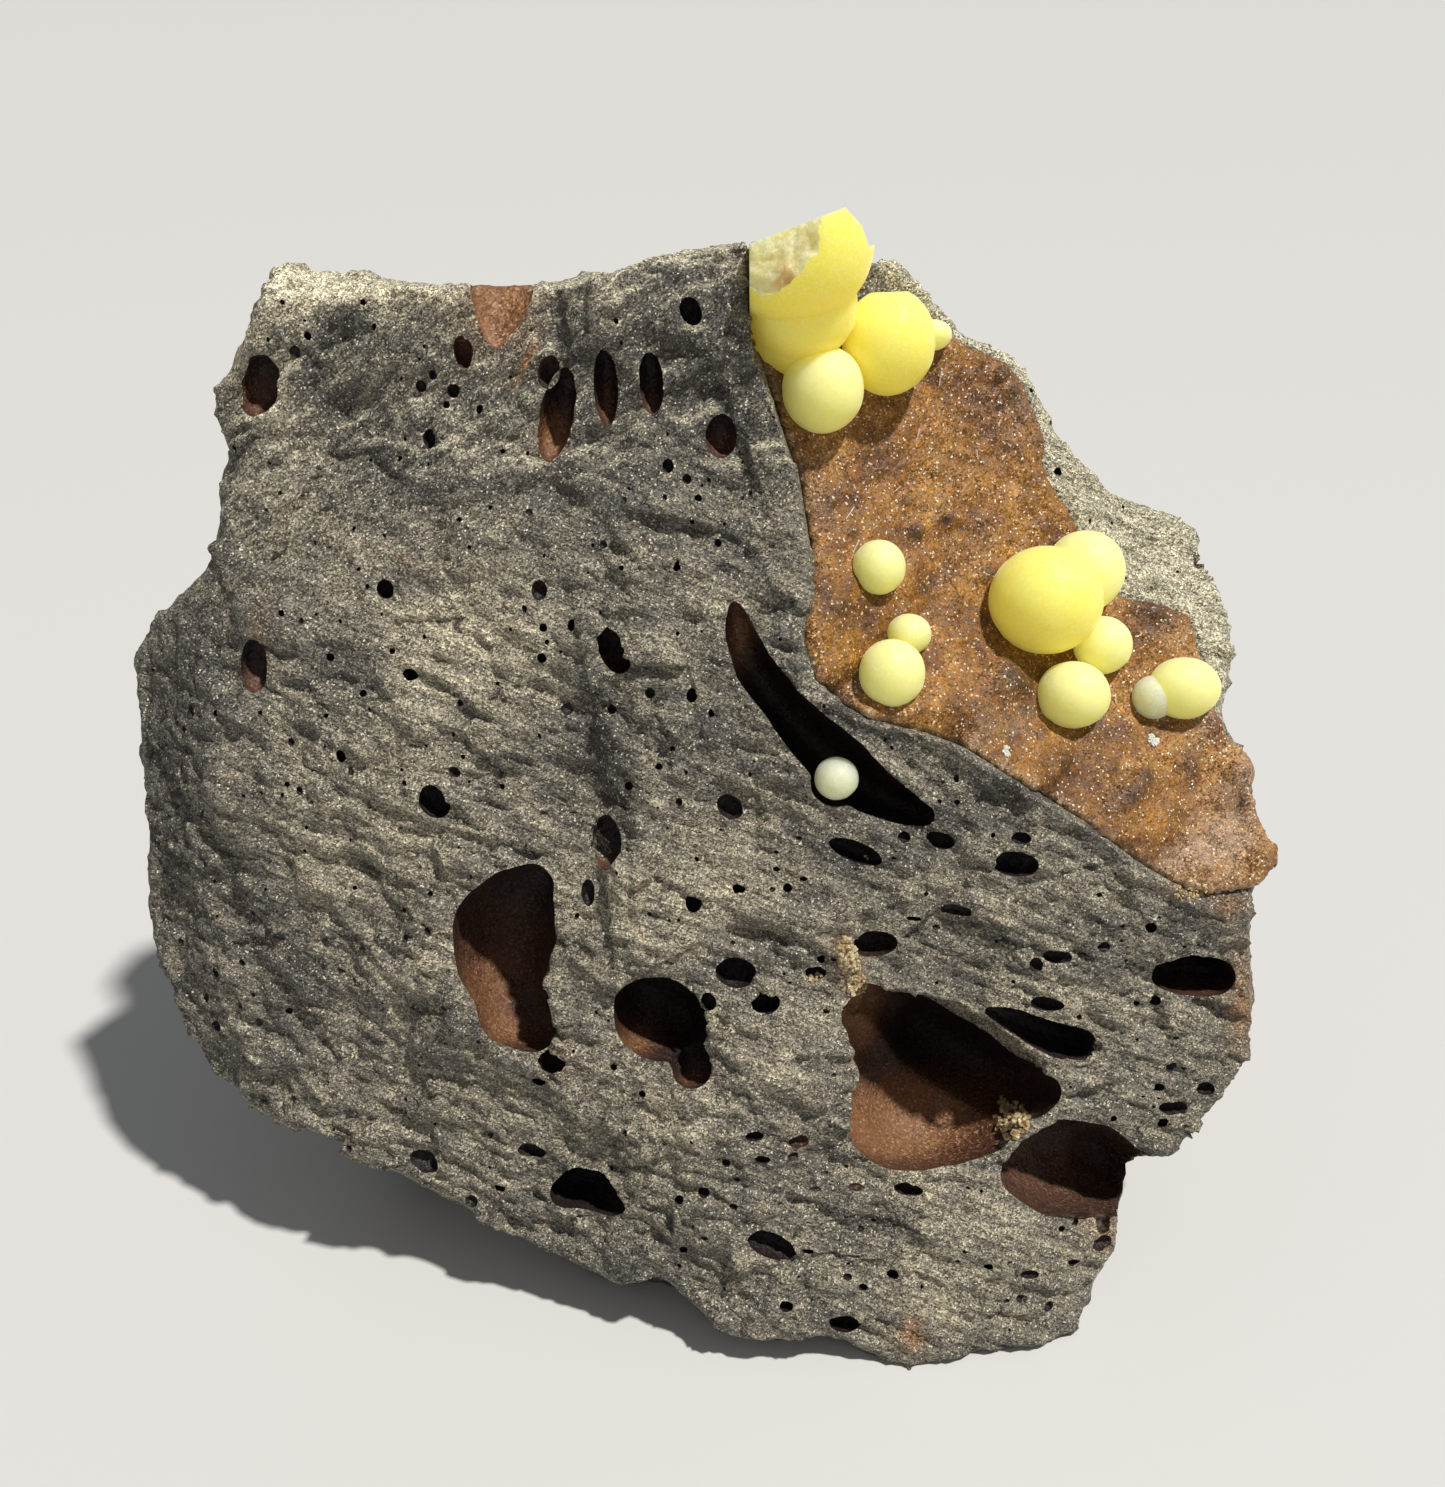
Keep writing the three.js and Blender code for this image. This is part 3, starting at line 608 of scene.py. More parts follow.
# Bubbles that aren't chains: x, y, width, length and turn.
pits = [
    (260, 386, 36, 54, -14), (253, 666, 26, 46, 0), (558, 414, 31, 87, -14), (606, 386, 21, 71, 2),
    (651, 382, 22, 57, 4), (614, 648, 29, 50, 24), (434, 800, 27, 35, 36), (607, 843, 28, 51, 4),
    (736, 972, 28, 38, 80), (763, 1000, 26, 33, 80), (855, 851, 19, 53, 68),
    (1014, 863, 23, 44, 82), (872, 943, 24, 46, 92), (464, 352, 17, 31, 8), (549, 372, 19, 29, -15),
    (721, 436, 28, 39, 0), (690, 311, 20, 27, 25), (430, 439, 11, 17, 0), (404, 461, 12, 16, 0),
    (386, 589, 16, 18, 0), (539, 590, 14, 18, 0), (412, 674, 16, 16, 0), (677, 566, 18, 24, 0),
    (573, 626, 10, 13, 0), (567, 708, 13, 14, 0), (343, 753, 11, 18, 0), (730, 807, 20, 27, 45),
    (692, 695, 11, 15, 0), (711, 712, 8, 11, 0), (685, 721, 8, 9, 0), (543, 815, 12, 14, 80),
    (454, 772, 9, 12, 60), (360, 808, 9, 13, 0), (295, 352, 9, 10, 0), (454, 391, 12, 12, 0),
    (421, 386, 9, 10, 0), (433, 375, 7, 8, 0), (447, 405, 6, 7, 0), (481, 410, 8, 9, 0),
    (376, 327, 6, 7, 0), (308, 336, 6, 7, 0), (189, 712, 7, 13, 0), (180, 767, 5, 11, 0),
    (336, 637, 7, 12, 0), (283, 613, 7, 8, 0), (331, 657, 7, 8, 0), (328, 714, 8, 9, 0),
    (364, 694, 7, 8, 0), (371, 707, 7, 8, 0), (393, 652, 6, 7, 0), (668, 466, 10, 13, 0),
    (687, 479, 8, 9, 0), (698, 499, 7, 8, 0), (603, 529, 7, 8, 0), (603, 544, 7, 8, 0),
    (529, 512, 7, 8, 0), (507, 596, 6, 7, 0), (742, 497, 6, 7, 0), (693, 520, 6, 7, 0),
    (718, 543, 6, 7, 0), (677, 635, 11, 16, 0), (544, 628, 8, 8, 0), (542, 658, 9, 9, 0),
    (640, 661, 6, 7, 0), (650, 693, 9, 10, 0), (612, 709, 8, 9, 0), (659, 768, 7, 8, 0),
    (675, 771, 6, 7, 0), (629, 786, 8, 8, 0), (715, 853, 10, 11, 0), (679, 802, 6, 7, 0),
    (940, 840, 15, 27, 75), (904, 837, 10, 12, 80), (1021, 838, 10, 18, 85), (992, 835, 7, 7, 0),
    (1006, 817, 7, 7, 0), (956, 911, 13, 28, 85), (913, 918, 5, 16, 85), (815, 972, 12, 20, 80),
    (820, 958, 10, 10, 0), (1058, 957, 12, 26, 85), (1036, 965, 12, 13, 0), (1104, 947, 9, 13, 85),
    (1150, 926, 12, 12, 0), (1047, 1004, 12, 30, 85), (1154, 1000, 9, 13, 85),
    (1136, 1002, 6, 6, 0), (1174, 1108, 12, 28, 85), (1161, 1120, 12, 12, 0),
    (1204, 1088, 11, 19, 80), (1158, 1086, 8, 12, 85), (1172, 1068, 10, 10, 0),
    (1112, 1117, 8, 8, 0), (816, 1191, 6, 14, 85), (858, 1188, 7, 17, 85), (909, 1188, 12, 26, 85),
    (923, 1225, 8, 12, 85), (944, 1218, 8, 8, 0), (980, 1190, 9, 9, 0), (963, 1181, 7, 7, 0),
    (1016, 1230, 6, 13, 85), (1060, 1227, 8, 8, 0), (1072, 1221, 6, 11, 85), (990, 1264, 9, 16, 85),
    (1073, 1262, 6, 14, 85), (1030, 1275, 7, 17, 85), (1022, 1299, 6, 11, 85),
    (1049, 1307, 9, 9, 0), (894, 1273, 9, 16, 80), (914, 1288, 11, 19, 80), (863, 1286, 6, 11, 85),
    (844, 1320, 19, 30, 80), (834, 1311, 9, 9, 0), (784, 1305, 10, 17, 85), (771, 1245, 20, 47, 68),
    (809, 1248, 8, 15, 85), (1104, 1244, 14, 21, 85), (1103, 1221, 14, 21, 0),
    (693, 903, 16, 18, 0), (740, 890, 13, 17, 60), (787, 888, 9, 9, 0), (588, 893, 12, 24, 0),
    (636, 950, 9, 11, 80), (424, 1162, 18, 27, 65), (532, 1151, 13, 25, 85), (490, 1136, 6, 6, 0),
    (471, 1202, 11, 11, 0), (502, 1187, 7, 13, 85), (799, 1142, 12, 19, 85), (794, 1157, 7, 12, 85),
    (754, 1136, 9, 17, 85), (762, 1159, 7, 15, 85), (726, 1163, 7, 7, 0), (737, 1181, 6, 6, 0),
    (704, 1192, 10, 10, 0), (680, 1199, 10, 10, 0), (653, 1155, 6, 6, 0), (742, 1067, 8, 8, 0),
    (816, 1079, 9, 9, 0), (613, 1067, 8, 14, 80), (643, 1093, 7, 7, 0), (453, 1048, 6, 6, 0),
    (680, 1224, 9, 12, 80), (684, 1249, 7, 7, 0), (216, 1027, 10, 10, 0), (258, 1026, 8, 13, 0),
    (215, 973, 7, 10, 0), (238, 1007, 6, 6, 0), (289, 1011, 6, 6, 0), (330, 1079, 7, 7, 0),
    (343, 1092, 6, 6, 0), (291, 1100, 7, 7, 0), (378, 832, 8, 8, 0), (430, 881, 5, 5, 0),
    (356, 887, 6, 6, 0), (217, 713, 6, 6, 0), (555, 1060, 24, 31, 80), (541, 1078, 12, 17, 80),
    (709, 1001, 14, 20, 15), (1057, 472, 8, 8, 0),
]


def sightMatrix(place, size, turn):
    scale = Matrix.Diagonal(Vector((*size, 1)))
    return Matrix.Translation(place) @ sightTurn.to_4x4() @ Matrix.Rotation(turn, 4, "Z") @ scale


# How far from the eye the unbroken face is at a bubble's mouth, from points around it. The farther
# half of them may lie behind an edge, so it is left out.
def mouthReach(tree, x, y, width, length, turn, points=12, around=0.62):
    reaches = []
    for step in range(points):
        angle = step * math.tau / points
        across = around * width * math.cos(angle)
        along = around * length * math.sin(angle)
        dx = across * math.cos(turn) - along * math.sin(turn)
        dy = across * math.sin(turn) + along * math.cos(turn)
        hit = tree.ray_cast(sight["eye"], sightRay(*spot(x + dx, y - dy)))
        if hit[0]:
            reaches.append(hit[3])
    reaches.sort()
    nearer = reaches[: max(1, len(reaches) // 2)]
    return sum(nearer) / len(nearer) if nearer else None


# A bubble as a ball drawn out to its mouth, with its middle a little below the face. Gives its
# mouth: x, y, radius in picture points, and millimetres from the eye.
def bubble(bm, tree, x, y, width, length, turn, depth, detail, margin, sunk=0.3):
    turn = math.radians(turn)
    reach = mouthReach(tree, x, y, width, length, turn)
    if not reach:
        return None
    mouth = math.sqrt(1 - sunk * sunk)
    half = depth * mm / (1 + sunk)
    place = sight["eye"] + sightRay(*spot(x, y)) * (reach + sunk * half)
    unit = reach / sight["distance"] * mm / sight["pointsPerMm"] / 2 / mouth
    size = (width * unit + margin, length * unit + margin, half + margin)
    made = bmesh.ops.create_icosphere(bm, subdivisions=detail, radius=1)
    bmesh.ops.transform(bm, matrix=sightMatrix(place, size, turn), verts=made["verts"])
    return x, y, width / 2, reach / mm


# The cutter of the large hollows, and their mouths.
def hollowCutter(tree, lining):
    form = hollowForm
    bm = bmesh.new()
    mouths = []
    for chain in hollows.values():
        links = chain[:1]
        for start, end in zip(chain, chain[1:]):
            gap = math.dist(start[:2], end[:2])
            count = max(1, round(gap / form["chainStep"]))
            for k in range(1, count + 1):
                links.append(tuple(a + (b - a) * k / count for a, b in zip(start, end)))
        for x, y, width, depth in links:
            margin = min(form["margin"], form["marginShare"] * width) * mm
            mouth = bubble(bm, tree, x, y, width, width, 0, depth, form["detail"], margin)
            if mouth:
                mouths.append(mouth)
    cutter = newPiece("hollowCutter", bm, None)
    remesh(cutter, form["voxel"])
    smooth(cutter, form["smoothing"])
    cutter.data.materials.append(lining)
    return cutter, mouths


# Gives the lining to all that lies well behind a hollow's mouth.
def lineHollows(piece, mouths):
    form = hollowForm
    count = len(piece.data.polygons)
    middles = np.empty(count * 3)
    slots = np.empty(count, dtype=int)
    piece.data.polygons.foreach_get("center", middles)
    piece.data.polygons.foreach_get("material_index", slots)
    middles = middles.reshape(-1, 3)
    ways = middles - np.array(sight["eye"])
    reaches = -ways @ np.array(towards)
    right, up = (
        ways @ np.array(axis) / reaches * sight["distance"] / mm * sight["pointsPerMm"]
        for axis in (rightward, upward)
    )
    xs, ys = sight["middle"][0] + right, sight["middle"][1] - up
    distances = np.linalg.norm(ways, axis=1) / mm
    lining = [m.name.split(".")[0] for m in piece.data.materials].index("bubbleLining")
    for x, y, radius, reach in mouths:
        near = (xs - x) ** 2 + (ys - y) ** 2 < (radius + form["linedBeside"]) ** 2
        behind = distances - reach
        slots[near & (behind > form["linedFrom"]) & (behind < form["linedTo"])] = lining
    piece.data.polygons.foreach_set("material_index", slots)


# How much of a soft patch is felt at a picture point.
def patchShare(patch, x, y):
    cx, cy, halfWidth, halfHeight, turn = patch[:5]
    dx, dy = x - cx, cy - y
    if abs(dx) + abs(dy) > 3.2 * (halfWidth + halfHeight):  # too far away to be felt
        return 0
    turn = math.radians(turn)
    across = (dx * math.cos(turn) + dy * math.sin(turn)) / halfWidth
    along = (dy * math.cos(turn) - dx * math.sin(turn)) / halfHeight
    return math.exp(-across * across - along * along)


def patches(listed, x, y):
    return sum(patch[5] * patchShare(patch, x, y) for patch in listed)


# The face's relief at a picture point, in millimetres.
def faceRelief(x, y):
    height = patches(faceSwells, x, y)
    for line, rise, width, reach in faceSteps:
        spread = 30 * reach  # three times the reach, in picture points
        if not min(p[0] for p in line) - spread < x < max(p[0] for p in line) + spread:
            continue
        if not min(p[1] for p in line) - spread < y < max(p[1] for p in line) + spread:
            continue
        away, side = nearestOn(line, x, -y, flipped=True)
        away /= sight["pointsPerMm"]
        height += 0.5 * rise * math.tanh(side * away / width) * math.exp(-away / reach)
    return height


# How far the break's streaks rise to the right instead of falling, from 0 to 1: they do above a
# line through a picture point.
risingLine = {"point": (400, 540), "slope": 0.35, "blend": 45}


def risingShare(x, y):
    lineX, lineY = risingLine["point"]
    below = y - lineY + risingLine["slope"] * (x - lineX)
    return 1 / (1 + math.exp(below / risingLine["blend"]))


# The small bubbles that were placed. Gives their places and radii in picture points.
def placedPits(bm, tree):
    form = pitForm
    share, more = form["depth"]
    taken = []
    for x, y, width, length, turn in pits:
        depth = share * math.sqrt(width * length) + more
        detail = 2 + (length > form["finer"]) + (length > form["finest"])
        if bubble(bm, tree, x, y, width, length, turn, depth, detail, form["margin"], form["sunk"]):
            taken.append((x, y, length / 2))
    return taken


# Tiny ones strewn over the face, away from the crust and from all other bubbles.
def strewTinyPits(bm, draw, trunk, hollowTree, crustTree, taken):
    form = tinyPits
    share, more = form["depth"]
    made = 0
    for _ in range(form["tries"] * form["most"]):
        x, y = draw.uniform(*form["x"]), draw.uniform(*form["y"])
        width = draw.choice(form["widths"])
        length = width * draw.uniform(*form["drawn"])
        place = trunk.ray_cast(sight["eye"], sightRay(*spot(x, y)))[0]
        if made == form["most"] or place is None or place.z < form["fromFloor"]:
            continue
        if crustTree.find_nearest(place)[3] < form["fromCrust"]:
            continue
        if outsideShare(hollowTree, place, 1e-6) < 1:
            continue
        if hollowTree.find_nearest(place)[3] < form["fromHollow"]:
            continue
        if any(math.hypot(x - a, y - b) < r + length for a, b, r in taken):
            continue
        rightOf, below = form["lowerRight"]
        lowerRight = x > rightOf and y > below
        turn = form["lowerRightTurn"] if lowerRight else draw.uniform(*form["turn"])
        bubble(bm, trunk, x, y, width, length, turn, share * width + more, 1, 0, pitForm["sunk"])
        taken.append((x, y, length / 2))
        made += 1


# Unseen ones on the rest of the block.
def strewBackPits(bm, draw, trunk):
    form = backPits
    least, more = form["radius"]
    placed = []
    for _ in range(form["tries"] * form["most"]):
        way = Vector([draw.uniform(*ends) for ends in form["ways"]])
        start = form["around"] + way.normalized() * form["outside"]
        place, normal = trunk.ray_cast(start, -way.normalized())[:2]
        if len(placed) == form["most"] or place is None or place.z < form["fromFloor"]:
            continue
        facing = normal.dot((sight["eye"] - place).normalized())
        if facing > form["unseen"] or normal.z > form["flattest"]:
            continue
        radius = (least + more * draw.random() ** 3) * mm
        if any((place - other).length < r + form["clear"] * radius for other, r in placed):
            continue
        detail = 3 if radius > form["finer"] else 2
        ball = bmesh.ops.create_icosphere(bm, subdivisions=detail, radius=1)
        axes = normal.to_track_quat("Z", "Y").to_matrix().to_4x4()
        length = radius * draw.uniform(*form["drawn"])
        size = Matrix.Diagonal(Vector((radius, length, radius * form["deep"], 1)))
        spin = Matrix.Rotation(draw.uniform(0, math.tau), 4, "Z")
        where = Matrix.Translation(place - normal * (form["sunk"] * radius))
        bmesh.ops.transform(bm, matrix=where @ axes @ spin @ size, verts=ball["verts"])
        placed.append((place, form["taken"] * radius))
    return placed


def pitCutter(tree, trunk, hollowTree, crustTree, lining):
    draw = random.Random(pitForm["seed"])
    bm = bmesh.new()
    taken = placedPits(bm, tree)
    strewTinyPits(bm, draw, trunk, hollowTree, crustTree, taken)
    behind = strewBackPits(bm, draw, trunk)
    say(f"{len(taken)} pits in front, {len(behind)} behind")
    return newPiece("pitCutter", bm, lining)


# 1 well outside a closed surface and 0 deeper than a given depth inside it.
def outsideShare(tree, point, depth):
    place, normal, _, away = tree.find_nearest(point)
    if place is None or (point - place).dot(normal) > 0:
        return 1
    return max(0, 1 - away / depth)


# A point in millimetres, turned with the streaks and shrunk along them.
def drawnPlace(point, turn, drawn):
    along = point.x * math.cos(turn) + point.z * math.sin(turn)
    across = point.z * math.cos(turn) - point.x * math.sin(turn)
    return Vector((along / drawn, across, point.y))


def brokenRelief(point, rising, form):
    height = form["swellHeight"] * noise.noise(point / form["swellSize"])
    height += form["lumpHeight"] * noise.fractal(point / form["lumpSize"], 1, 2, 3)
    for turn, share in ((form["risingTurn"], rising), (form["fallingTurn"], 1 - rising)):
        if share < 0.02:  # too little to be seen
            continue
        part = 0
        drawn = drawnPlace(point, turn, form["chipDrawn"])
        for size, rise, seed in form["chips"]:
            part += rise * chips(drawn, size, seed)
        drawn = drawnPlace(point, turn, form["streakDrawn"]) / form["streakSize"]
        part += form["streakHeight"] * noise.fractal(drawn, 0.8, 2, 3)
        height += share * part
    return height


paintForm = {
    "front": -0.1,  # how far a face may turn away and still be painted by the picture
    "tone": 0.42, "mottle": 0.1, "mottleSize": 9, "patches": 0.8,
    "stainMottle": (0.75, 0.5), "stainSize": 1.3,
    "paleCorner": (850, 830),  # the pale break lies on the right of this point, and above it
    # Faces that look up high on the block are painted pale, as a lit band.
    "paintedLightTopFrom": 0.62, "paintedLightTopSharp": 5, "paintedLightTopHeight": 84, "paintedLightTopBlend": 6,
    # The painted light in the hollows on faces that the eye doesn't see.
    "hiddenPaintedLight": 0.3,
}


def paintValues(piece, values):
    for name, listed in values.items():
        made = piece.data.attributes.new(name, "FLOAT", "POINT")
        made.data.foreach_set("value", listed)


# Writes the face's tones with painted light and shade, its stains, its pale parts with a painted
# lit band on top, the streaks and the painted light in the hollows on its vertices, for the
# materials to read.
def paintFace(piece):
    form = paintForm
    tones = {name: [] for name in ("tone", "stain", "pale", "rising", "lit")}
    leftOf, below = form["paleCorner"]
    least, mottled = form["stainMottle"]
    for vertex in piece.data.vertices:
        point = vertex.co
        x, y = pictureOf(point)
        front = vertex.normal.dot((sight["eye"] - point).normalized()) > form["front"]
        tone = form["tone"] + form["mottle"] * noise.noise(point / mm / form["mottleSize"])
        stain = pale = 0
        if front:
            # The patches add painted light and shade to the tone.
            tone += patches(toneAndShadePatches, x, y) * form["patches"]
            stain = patches(faceStains, x, y)
            stain *= least + mottled * noise.noise(point / mm / form["stainSize"])
            side = nearestOn(paleEdge, x, -y, flipped=True)
            pale = 1 if side[1] < 0 and x > leftOf and y < below else 0
        # A painted lit band: faces high on the block that look up are painted pale.
        level = min(1, (vertex.normal.z - form["paintedLightTopFrom"]) * form["paintedLightTopSharp"])
        high = min(1, max(0, point.z / mm - form["paintedLightTopHeight"]) / form["paintedLightTopBlend"])
        tones["tone"].append(min(1, max(0, tone)))
        tones["stain"].append(min(1, max(0, stain)))
        tones["pale"].append(max(pale, level * high))
        tones["rising"].append(risingShare(x, y))
        # The painted light in the hollows: where it is low, the lining is painted dark as shade.
        tones["lit"].append(min(1, patches(paintedLightInHollows, x, y)) if front else form["hiddenPaintedLight"])
    paintValues(piece, tones)


def thinned(piece, most):
    count = sum(len(face.vertices) - 2 for face in piece.data.polygons)
    if count > most:
        modifier = piece.modifiers.new("thin", "DECIMATE")
        modifier.ratio = most / count
        modifier.use_collapse_triangulate = True
        applyModifiers(piece)
    return count


def pullEdges(bm):
    for vertex in bm.verts:
        x, y = pictureOf(vertex.co)
        for cx, cy, reach, right, up in basaltPulls:
            share = math.exp(-((x - cx) ** 2 + (y - cy) ** 2) / reach ** 2)
            if share > 0.01:
                vertex.co += (rightward * right + upward * up) * (share * mm)


# Divides the faces that look towards the eye.
def divideFront(bm):
    bm.normal_update()
    eye = sight["eye"]
    shown = [f for f in bm.faces if f.normal.dot(eye - f.calc_center_median()) > 0]
    edges = list({e for f in shown for e in f.edges})
    bmesh.ops.subdivide_edges(bm, edges=edges, cuts=1, use_grid_fill=True, smooth=0.6)
    say(f"front divided, {len(bm.faces)} faces")


# Lays the broken relief on the block, except by the crust and in the hollows.
def layRelief(bm, hollowTree, crustTree):
    form = basaltForm
    bm.normal_update()
    moves = []
    for vertex in bm.verts:
        x, y = pictureOf(vertex.co)
        height = brokenRelief(vertex.co / mm, risingShare(x, y), form)
        facing = vertex.normal.dot((sight["eye"] - vertex.co).normalized())
        if facing > form["placedFrom"]:
            sharp = form["placedSharp"]
            height += faceRelief(x, y) * min(1, (facing - form["placedFrom"]) * sharp)
        if form["outline"][0] < facing < form["outline"][1]:
            least, more = form["outlineHeight"]
            height *= least + more * min(1, abs(facing) * form["outlineSharp"])
        height *= outsideShare(hollowTree, vertex.co, form["hollowBlend"])
        near = crustTree.find_nearest(vertex.co)[3]
        height *= min(1, max(0, near / mm - form["crustGap"]) / form["crustBlend"])
        moves.append(vertex.normal * (height * mm))
    for vertex, move in zip(bm.verts, moves):
        vertex.co += move


def makeBasalt():
    form = basaltForm
    rock = basaltMaterial()
    lining = liningMaterial()
    piece = newPiece("basalt", solidCopy("basalt_matrix"), rock)
    remesh(piece, form["voxel"])
    say(f"basalt remeshed, {len(piece.data.polygons)} faces")

    bm = bmesh.new()
    bm.from_mesh(piece.data)
    pullEdges(bm)
    tree = BVHTree.FromBMesh(bm)
    divideFront(bm)

    cutter, mouths = hollowCutter(tree, lining)
    hollowTree = treeOf(cutter)
    crust = solidCopy("cavity_crust")
    crustTree = BVHTree.FromBMesh(crust)
    crust.free()
    say("hollow cutter made")
    layRelief(bm, hollowTree, crustTree)
    bm.to_mesh(piece.data)
    trunk = BVHTree.FromBMesh(bm)
    bm.free()
    say("relief laid")
    cut(piece, cutter)
    cut(piece, pitCutter(tree, trunk, hollowTree, crustTree, lining))
    say(f"bubbles cut, {len(piece.data.polygons)} faces")
    count = thinned(piece, form["most"])
    say(f"thinned from {count} triangles to {len(piece.data.polygons)}")
    for vertex in piece.data.vertices:
        vertex.co.z = max(0, vertex.co.z)
    lineHollows(piece, mouths)
    paintFace(piece)
    shadeRims(piece)
    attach(piece, "root")
    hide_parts("basalt_matrix")
    say("basalt painted")
    return piece


# Smooth shading, but crisp where one material meets another.
def shadeRims(piece):
    bm = bmesh.new()
    bm.from_mesh(piece.data)
    for face in bm.faces:
        face.smooth = True
    for edge in bm.edges:
        edge.smooth = len({face.material_index for face in edge.link_faces}) == 1
    bm.to_mesh(piece.data)
    bm.free()


crustLook = {
    "deep": (0.085, 0.030, 0.008),
    "brown": (0.240, 0.102, 0.017),
    "light": (0.50, 0.255, 0.056),
    "dusty": (0.37, 0.24, 0.145),
    "lump": (0.070, 0.038, 0.022),
    # A pale line on the crust's rim: partly its broken edge, partly a painted highlight where the
    # edge catches light.
    "rim": (0.80, 0.66, 0.46),
    "sparkle": (1.0, 0.85, 0.60),
    "broad": 6, "medium": 1.2, "depth": 0.3,
    "grain": 0.17, "lean": 0.7,
    "flake": 0.6, "flakeLean": 0.3,
    "shadeByBroad": (0.34, 0.66, 0, 1), "shadeByMedium": (0.3, 0.7, -0.2, 0.2),
    "brownFrom": (-0.1, 0.5), "lightFrom": (0.5, 1.25, 0, 0.75),
    "grainPower": 1.6,
    "brightByGrain": (0, 1, 0.62, 1.75), "brightByFlake": (0, 1, 0.9, 1.1),
    "glintFrom": (0.95, 0.98), "glintShare": 0.75, "glintRoughness": (0, 1, 0.5, 0.2),
}


def crustMaterial():
    look = Look("drusyCrust")
    tones = crustLook
    place = look.place()
    broad = look.noise(place, tones["broad"], 4, 0.6, 0.4)
    medium = look.noise(place, tones["medium"], 4, 0.65)
    grain = look.cells(place, tones["grain"])
    flake = look.cells(place, tones["flake"])
    speck = look.parts(grain)
    shade = look.math("ADD", look.spread(broad, *tones["shadeByBroad"]),
                      look.spread(medium, *tones["shadeByMedium"]))
    colour = look.mix(look.spread(shade, *tones["brownFrom"]), tones["deep"], tones["brown"])
    colour = look.mix(look.spread(shade, *tones["lightFrom"]), colour, tones["light"])
    colour = look.mix(look.attribute("dusty"), colour, tones["dusty"])
    colour = look.mix(look.attribute("lump"), colour, tones["lump"])
    grained = look.math("POWER", speck[0], tones["grainPower"])
    bright = look.math("MULTIPLY", look.spread(grained, *tones["brightByGrain"]),
                       look.spread(look.parts(flake)[0], *tones["brightByFlake"]))
    colour = look.vector("SCALE", colour, scale=bright)
    glint = look.spread(speck[1], *tones["glintFrom"])
    colour = look.mix(look.math("MULTIPLY", glint, tones["glintShare"]), colour, tones["sparkle"])
    # The pale rim line, partly a painted highlight.
    colour = look.mix(look.attribute("rim"), colour, tones["rim"])
    normal = look.facets(flake, tones["flakeLean"])
    normal = look.facets(grain, tones["lean"], normal)
    normal = look.rough(medium, tones["depth"], normal)
    return look.wear(colour, look.spread(glint, *tones["glintRoughness"]), normal)


crustForm = {
    "voxel": 0.4 * mm, "smoothing": 12, "swell": 0.34, "rimSwell": 0.34,
    "trimmed": ((840, 296), (956, 343)),  # the line above which the corner's pale rock is bare
    "grains": [(2.6, 0.35), (1.1, 0.3)], "chipSeed": 5,
    "rimWidth": 7, "paintedRim": 4.5, "rimTop": 330,
    "front": -0.2, "rimFront": -0.4,
    "mottleSize": 0.9, "lumpMottle": (0.9, 0.5), "mottle": (0.8, 0.6),
}

# The crust's left and lower rim, against the basalt.
crustRim = [
    (749, 242), (749, 335), (765, 372), (786, 440), (800, 480), (812, 560), (806, 600), (804, 640),
    (816, 680), (844, 706), (880, 722), (924, 732), (960, 745), (1040, 794), (1080, 818),
    (1150, 870), (1180, 885), (1215, 893), (1248, 888), (1285, 874),
]

# Lumps on the crust: x, y, half width, half height, turn, height and how dark.
crustLumps = [
    (1008, 683, 17, 16, 0, 1.2, 0.9), (1002, 668, 9, 8, 0, 0.5, 0.5),
    (1128, 795, 20, 14, 30, 1.1, 0.9), (1108, 770, 10, 9, 0, 0.7, 0.7),
    (1142, 776, 10, 8, 0, 0.6, 0.7), (1182, 760, 12, 10, 0, 0.7, 0.6),
    (1190, 772, 8, 8, 0, 0.5, 0.6), (1000, 374, 8, 6, 30, 0.7, 0.7), (1010, 392, 7, 9, 0, 0.7, 0.8),
    (996, 352, 6, 5, 0, 0.5, 0.5), (945, 520, 9, 8, 0, 0.8, 0.7), (915, 532, 7, 7, 0, 0.6, 0.6),
    (985, 575, 12, 7, 30, 0.7, 0.8), (840, 605, 7, 6, 0, 0.5, 0.6), (905, 500, 6, 6, 0, 0.5, 0.6),
    (935, 470, 6, 6, 0, 0.4, 0.5), (880, 470, 5, 5, 0, 0.4, 0.4), (852, 532, 6, 5, 0, 0.4, 0.5),
    (965, 430, 6, 6, 0, 0.4, 0.4), (1020, 500, 7, 6, 0, 0.4, 0.4), (1042, 530, 6, 6, 0, 0.4, 0.5),
    (870, 430, 5, 5, 0, 0.3, 0.4), (1156, 614, 14, 5, -10, 0.4, 0.9),
    (1090, 738, 8, 6, 0, 0.5, 0.6), (1060, 760, 7, 6, 0, 0.4, 0.5), (1040, 735, 6, 5, 0, 0.4, 0.5),
    (955, 610, 7, 6, 0, 0.4, 0.4), (960, 660, 7, 6, 0, 0.4, 0.4), (975, 725, 7, 5, 0, 0.4, 0.4),
    (1150, 640, 6, 5, 0, 0.4, 0.4), (1236, 772, 12, 14, 0, 1.0, 0.1),
    (1262, 858, 12, 12, 0, 1.0, 0.1), (1218, 800, 10, 9, 0, 0.6, 0.4),
    (1240, 806, 6, 14, 0, -0.8, 0.8), (1092, 720, 12, 9, 0, 0.2, 0.7),
    (1168, 812, 8, 6, 0, 0.4, 0.5), (1220, 842, 8, 7, 0, 0.5, 0.2),
    (1205, 870, 10, 6, 10, 0.5, 0.1), (1100, 826, 7, 6, 0, 0.4, 0.4),
]

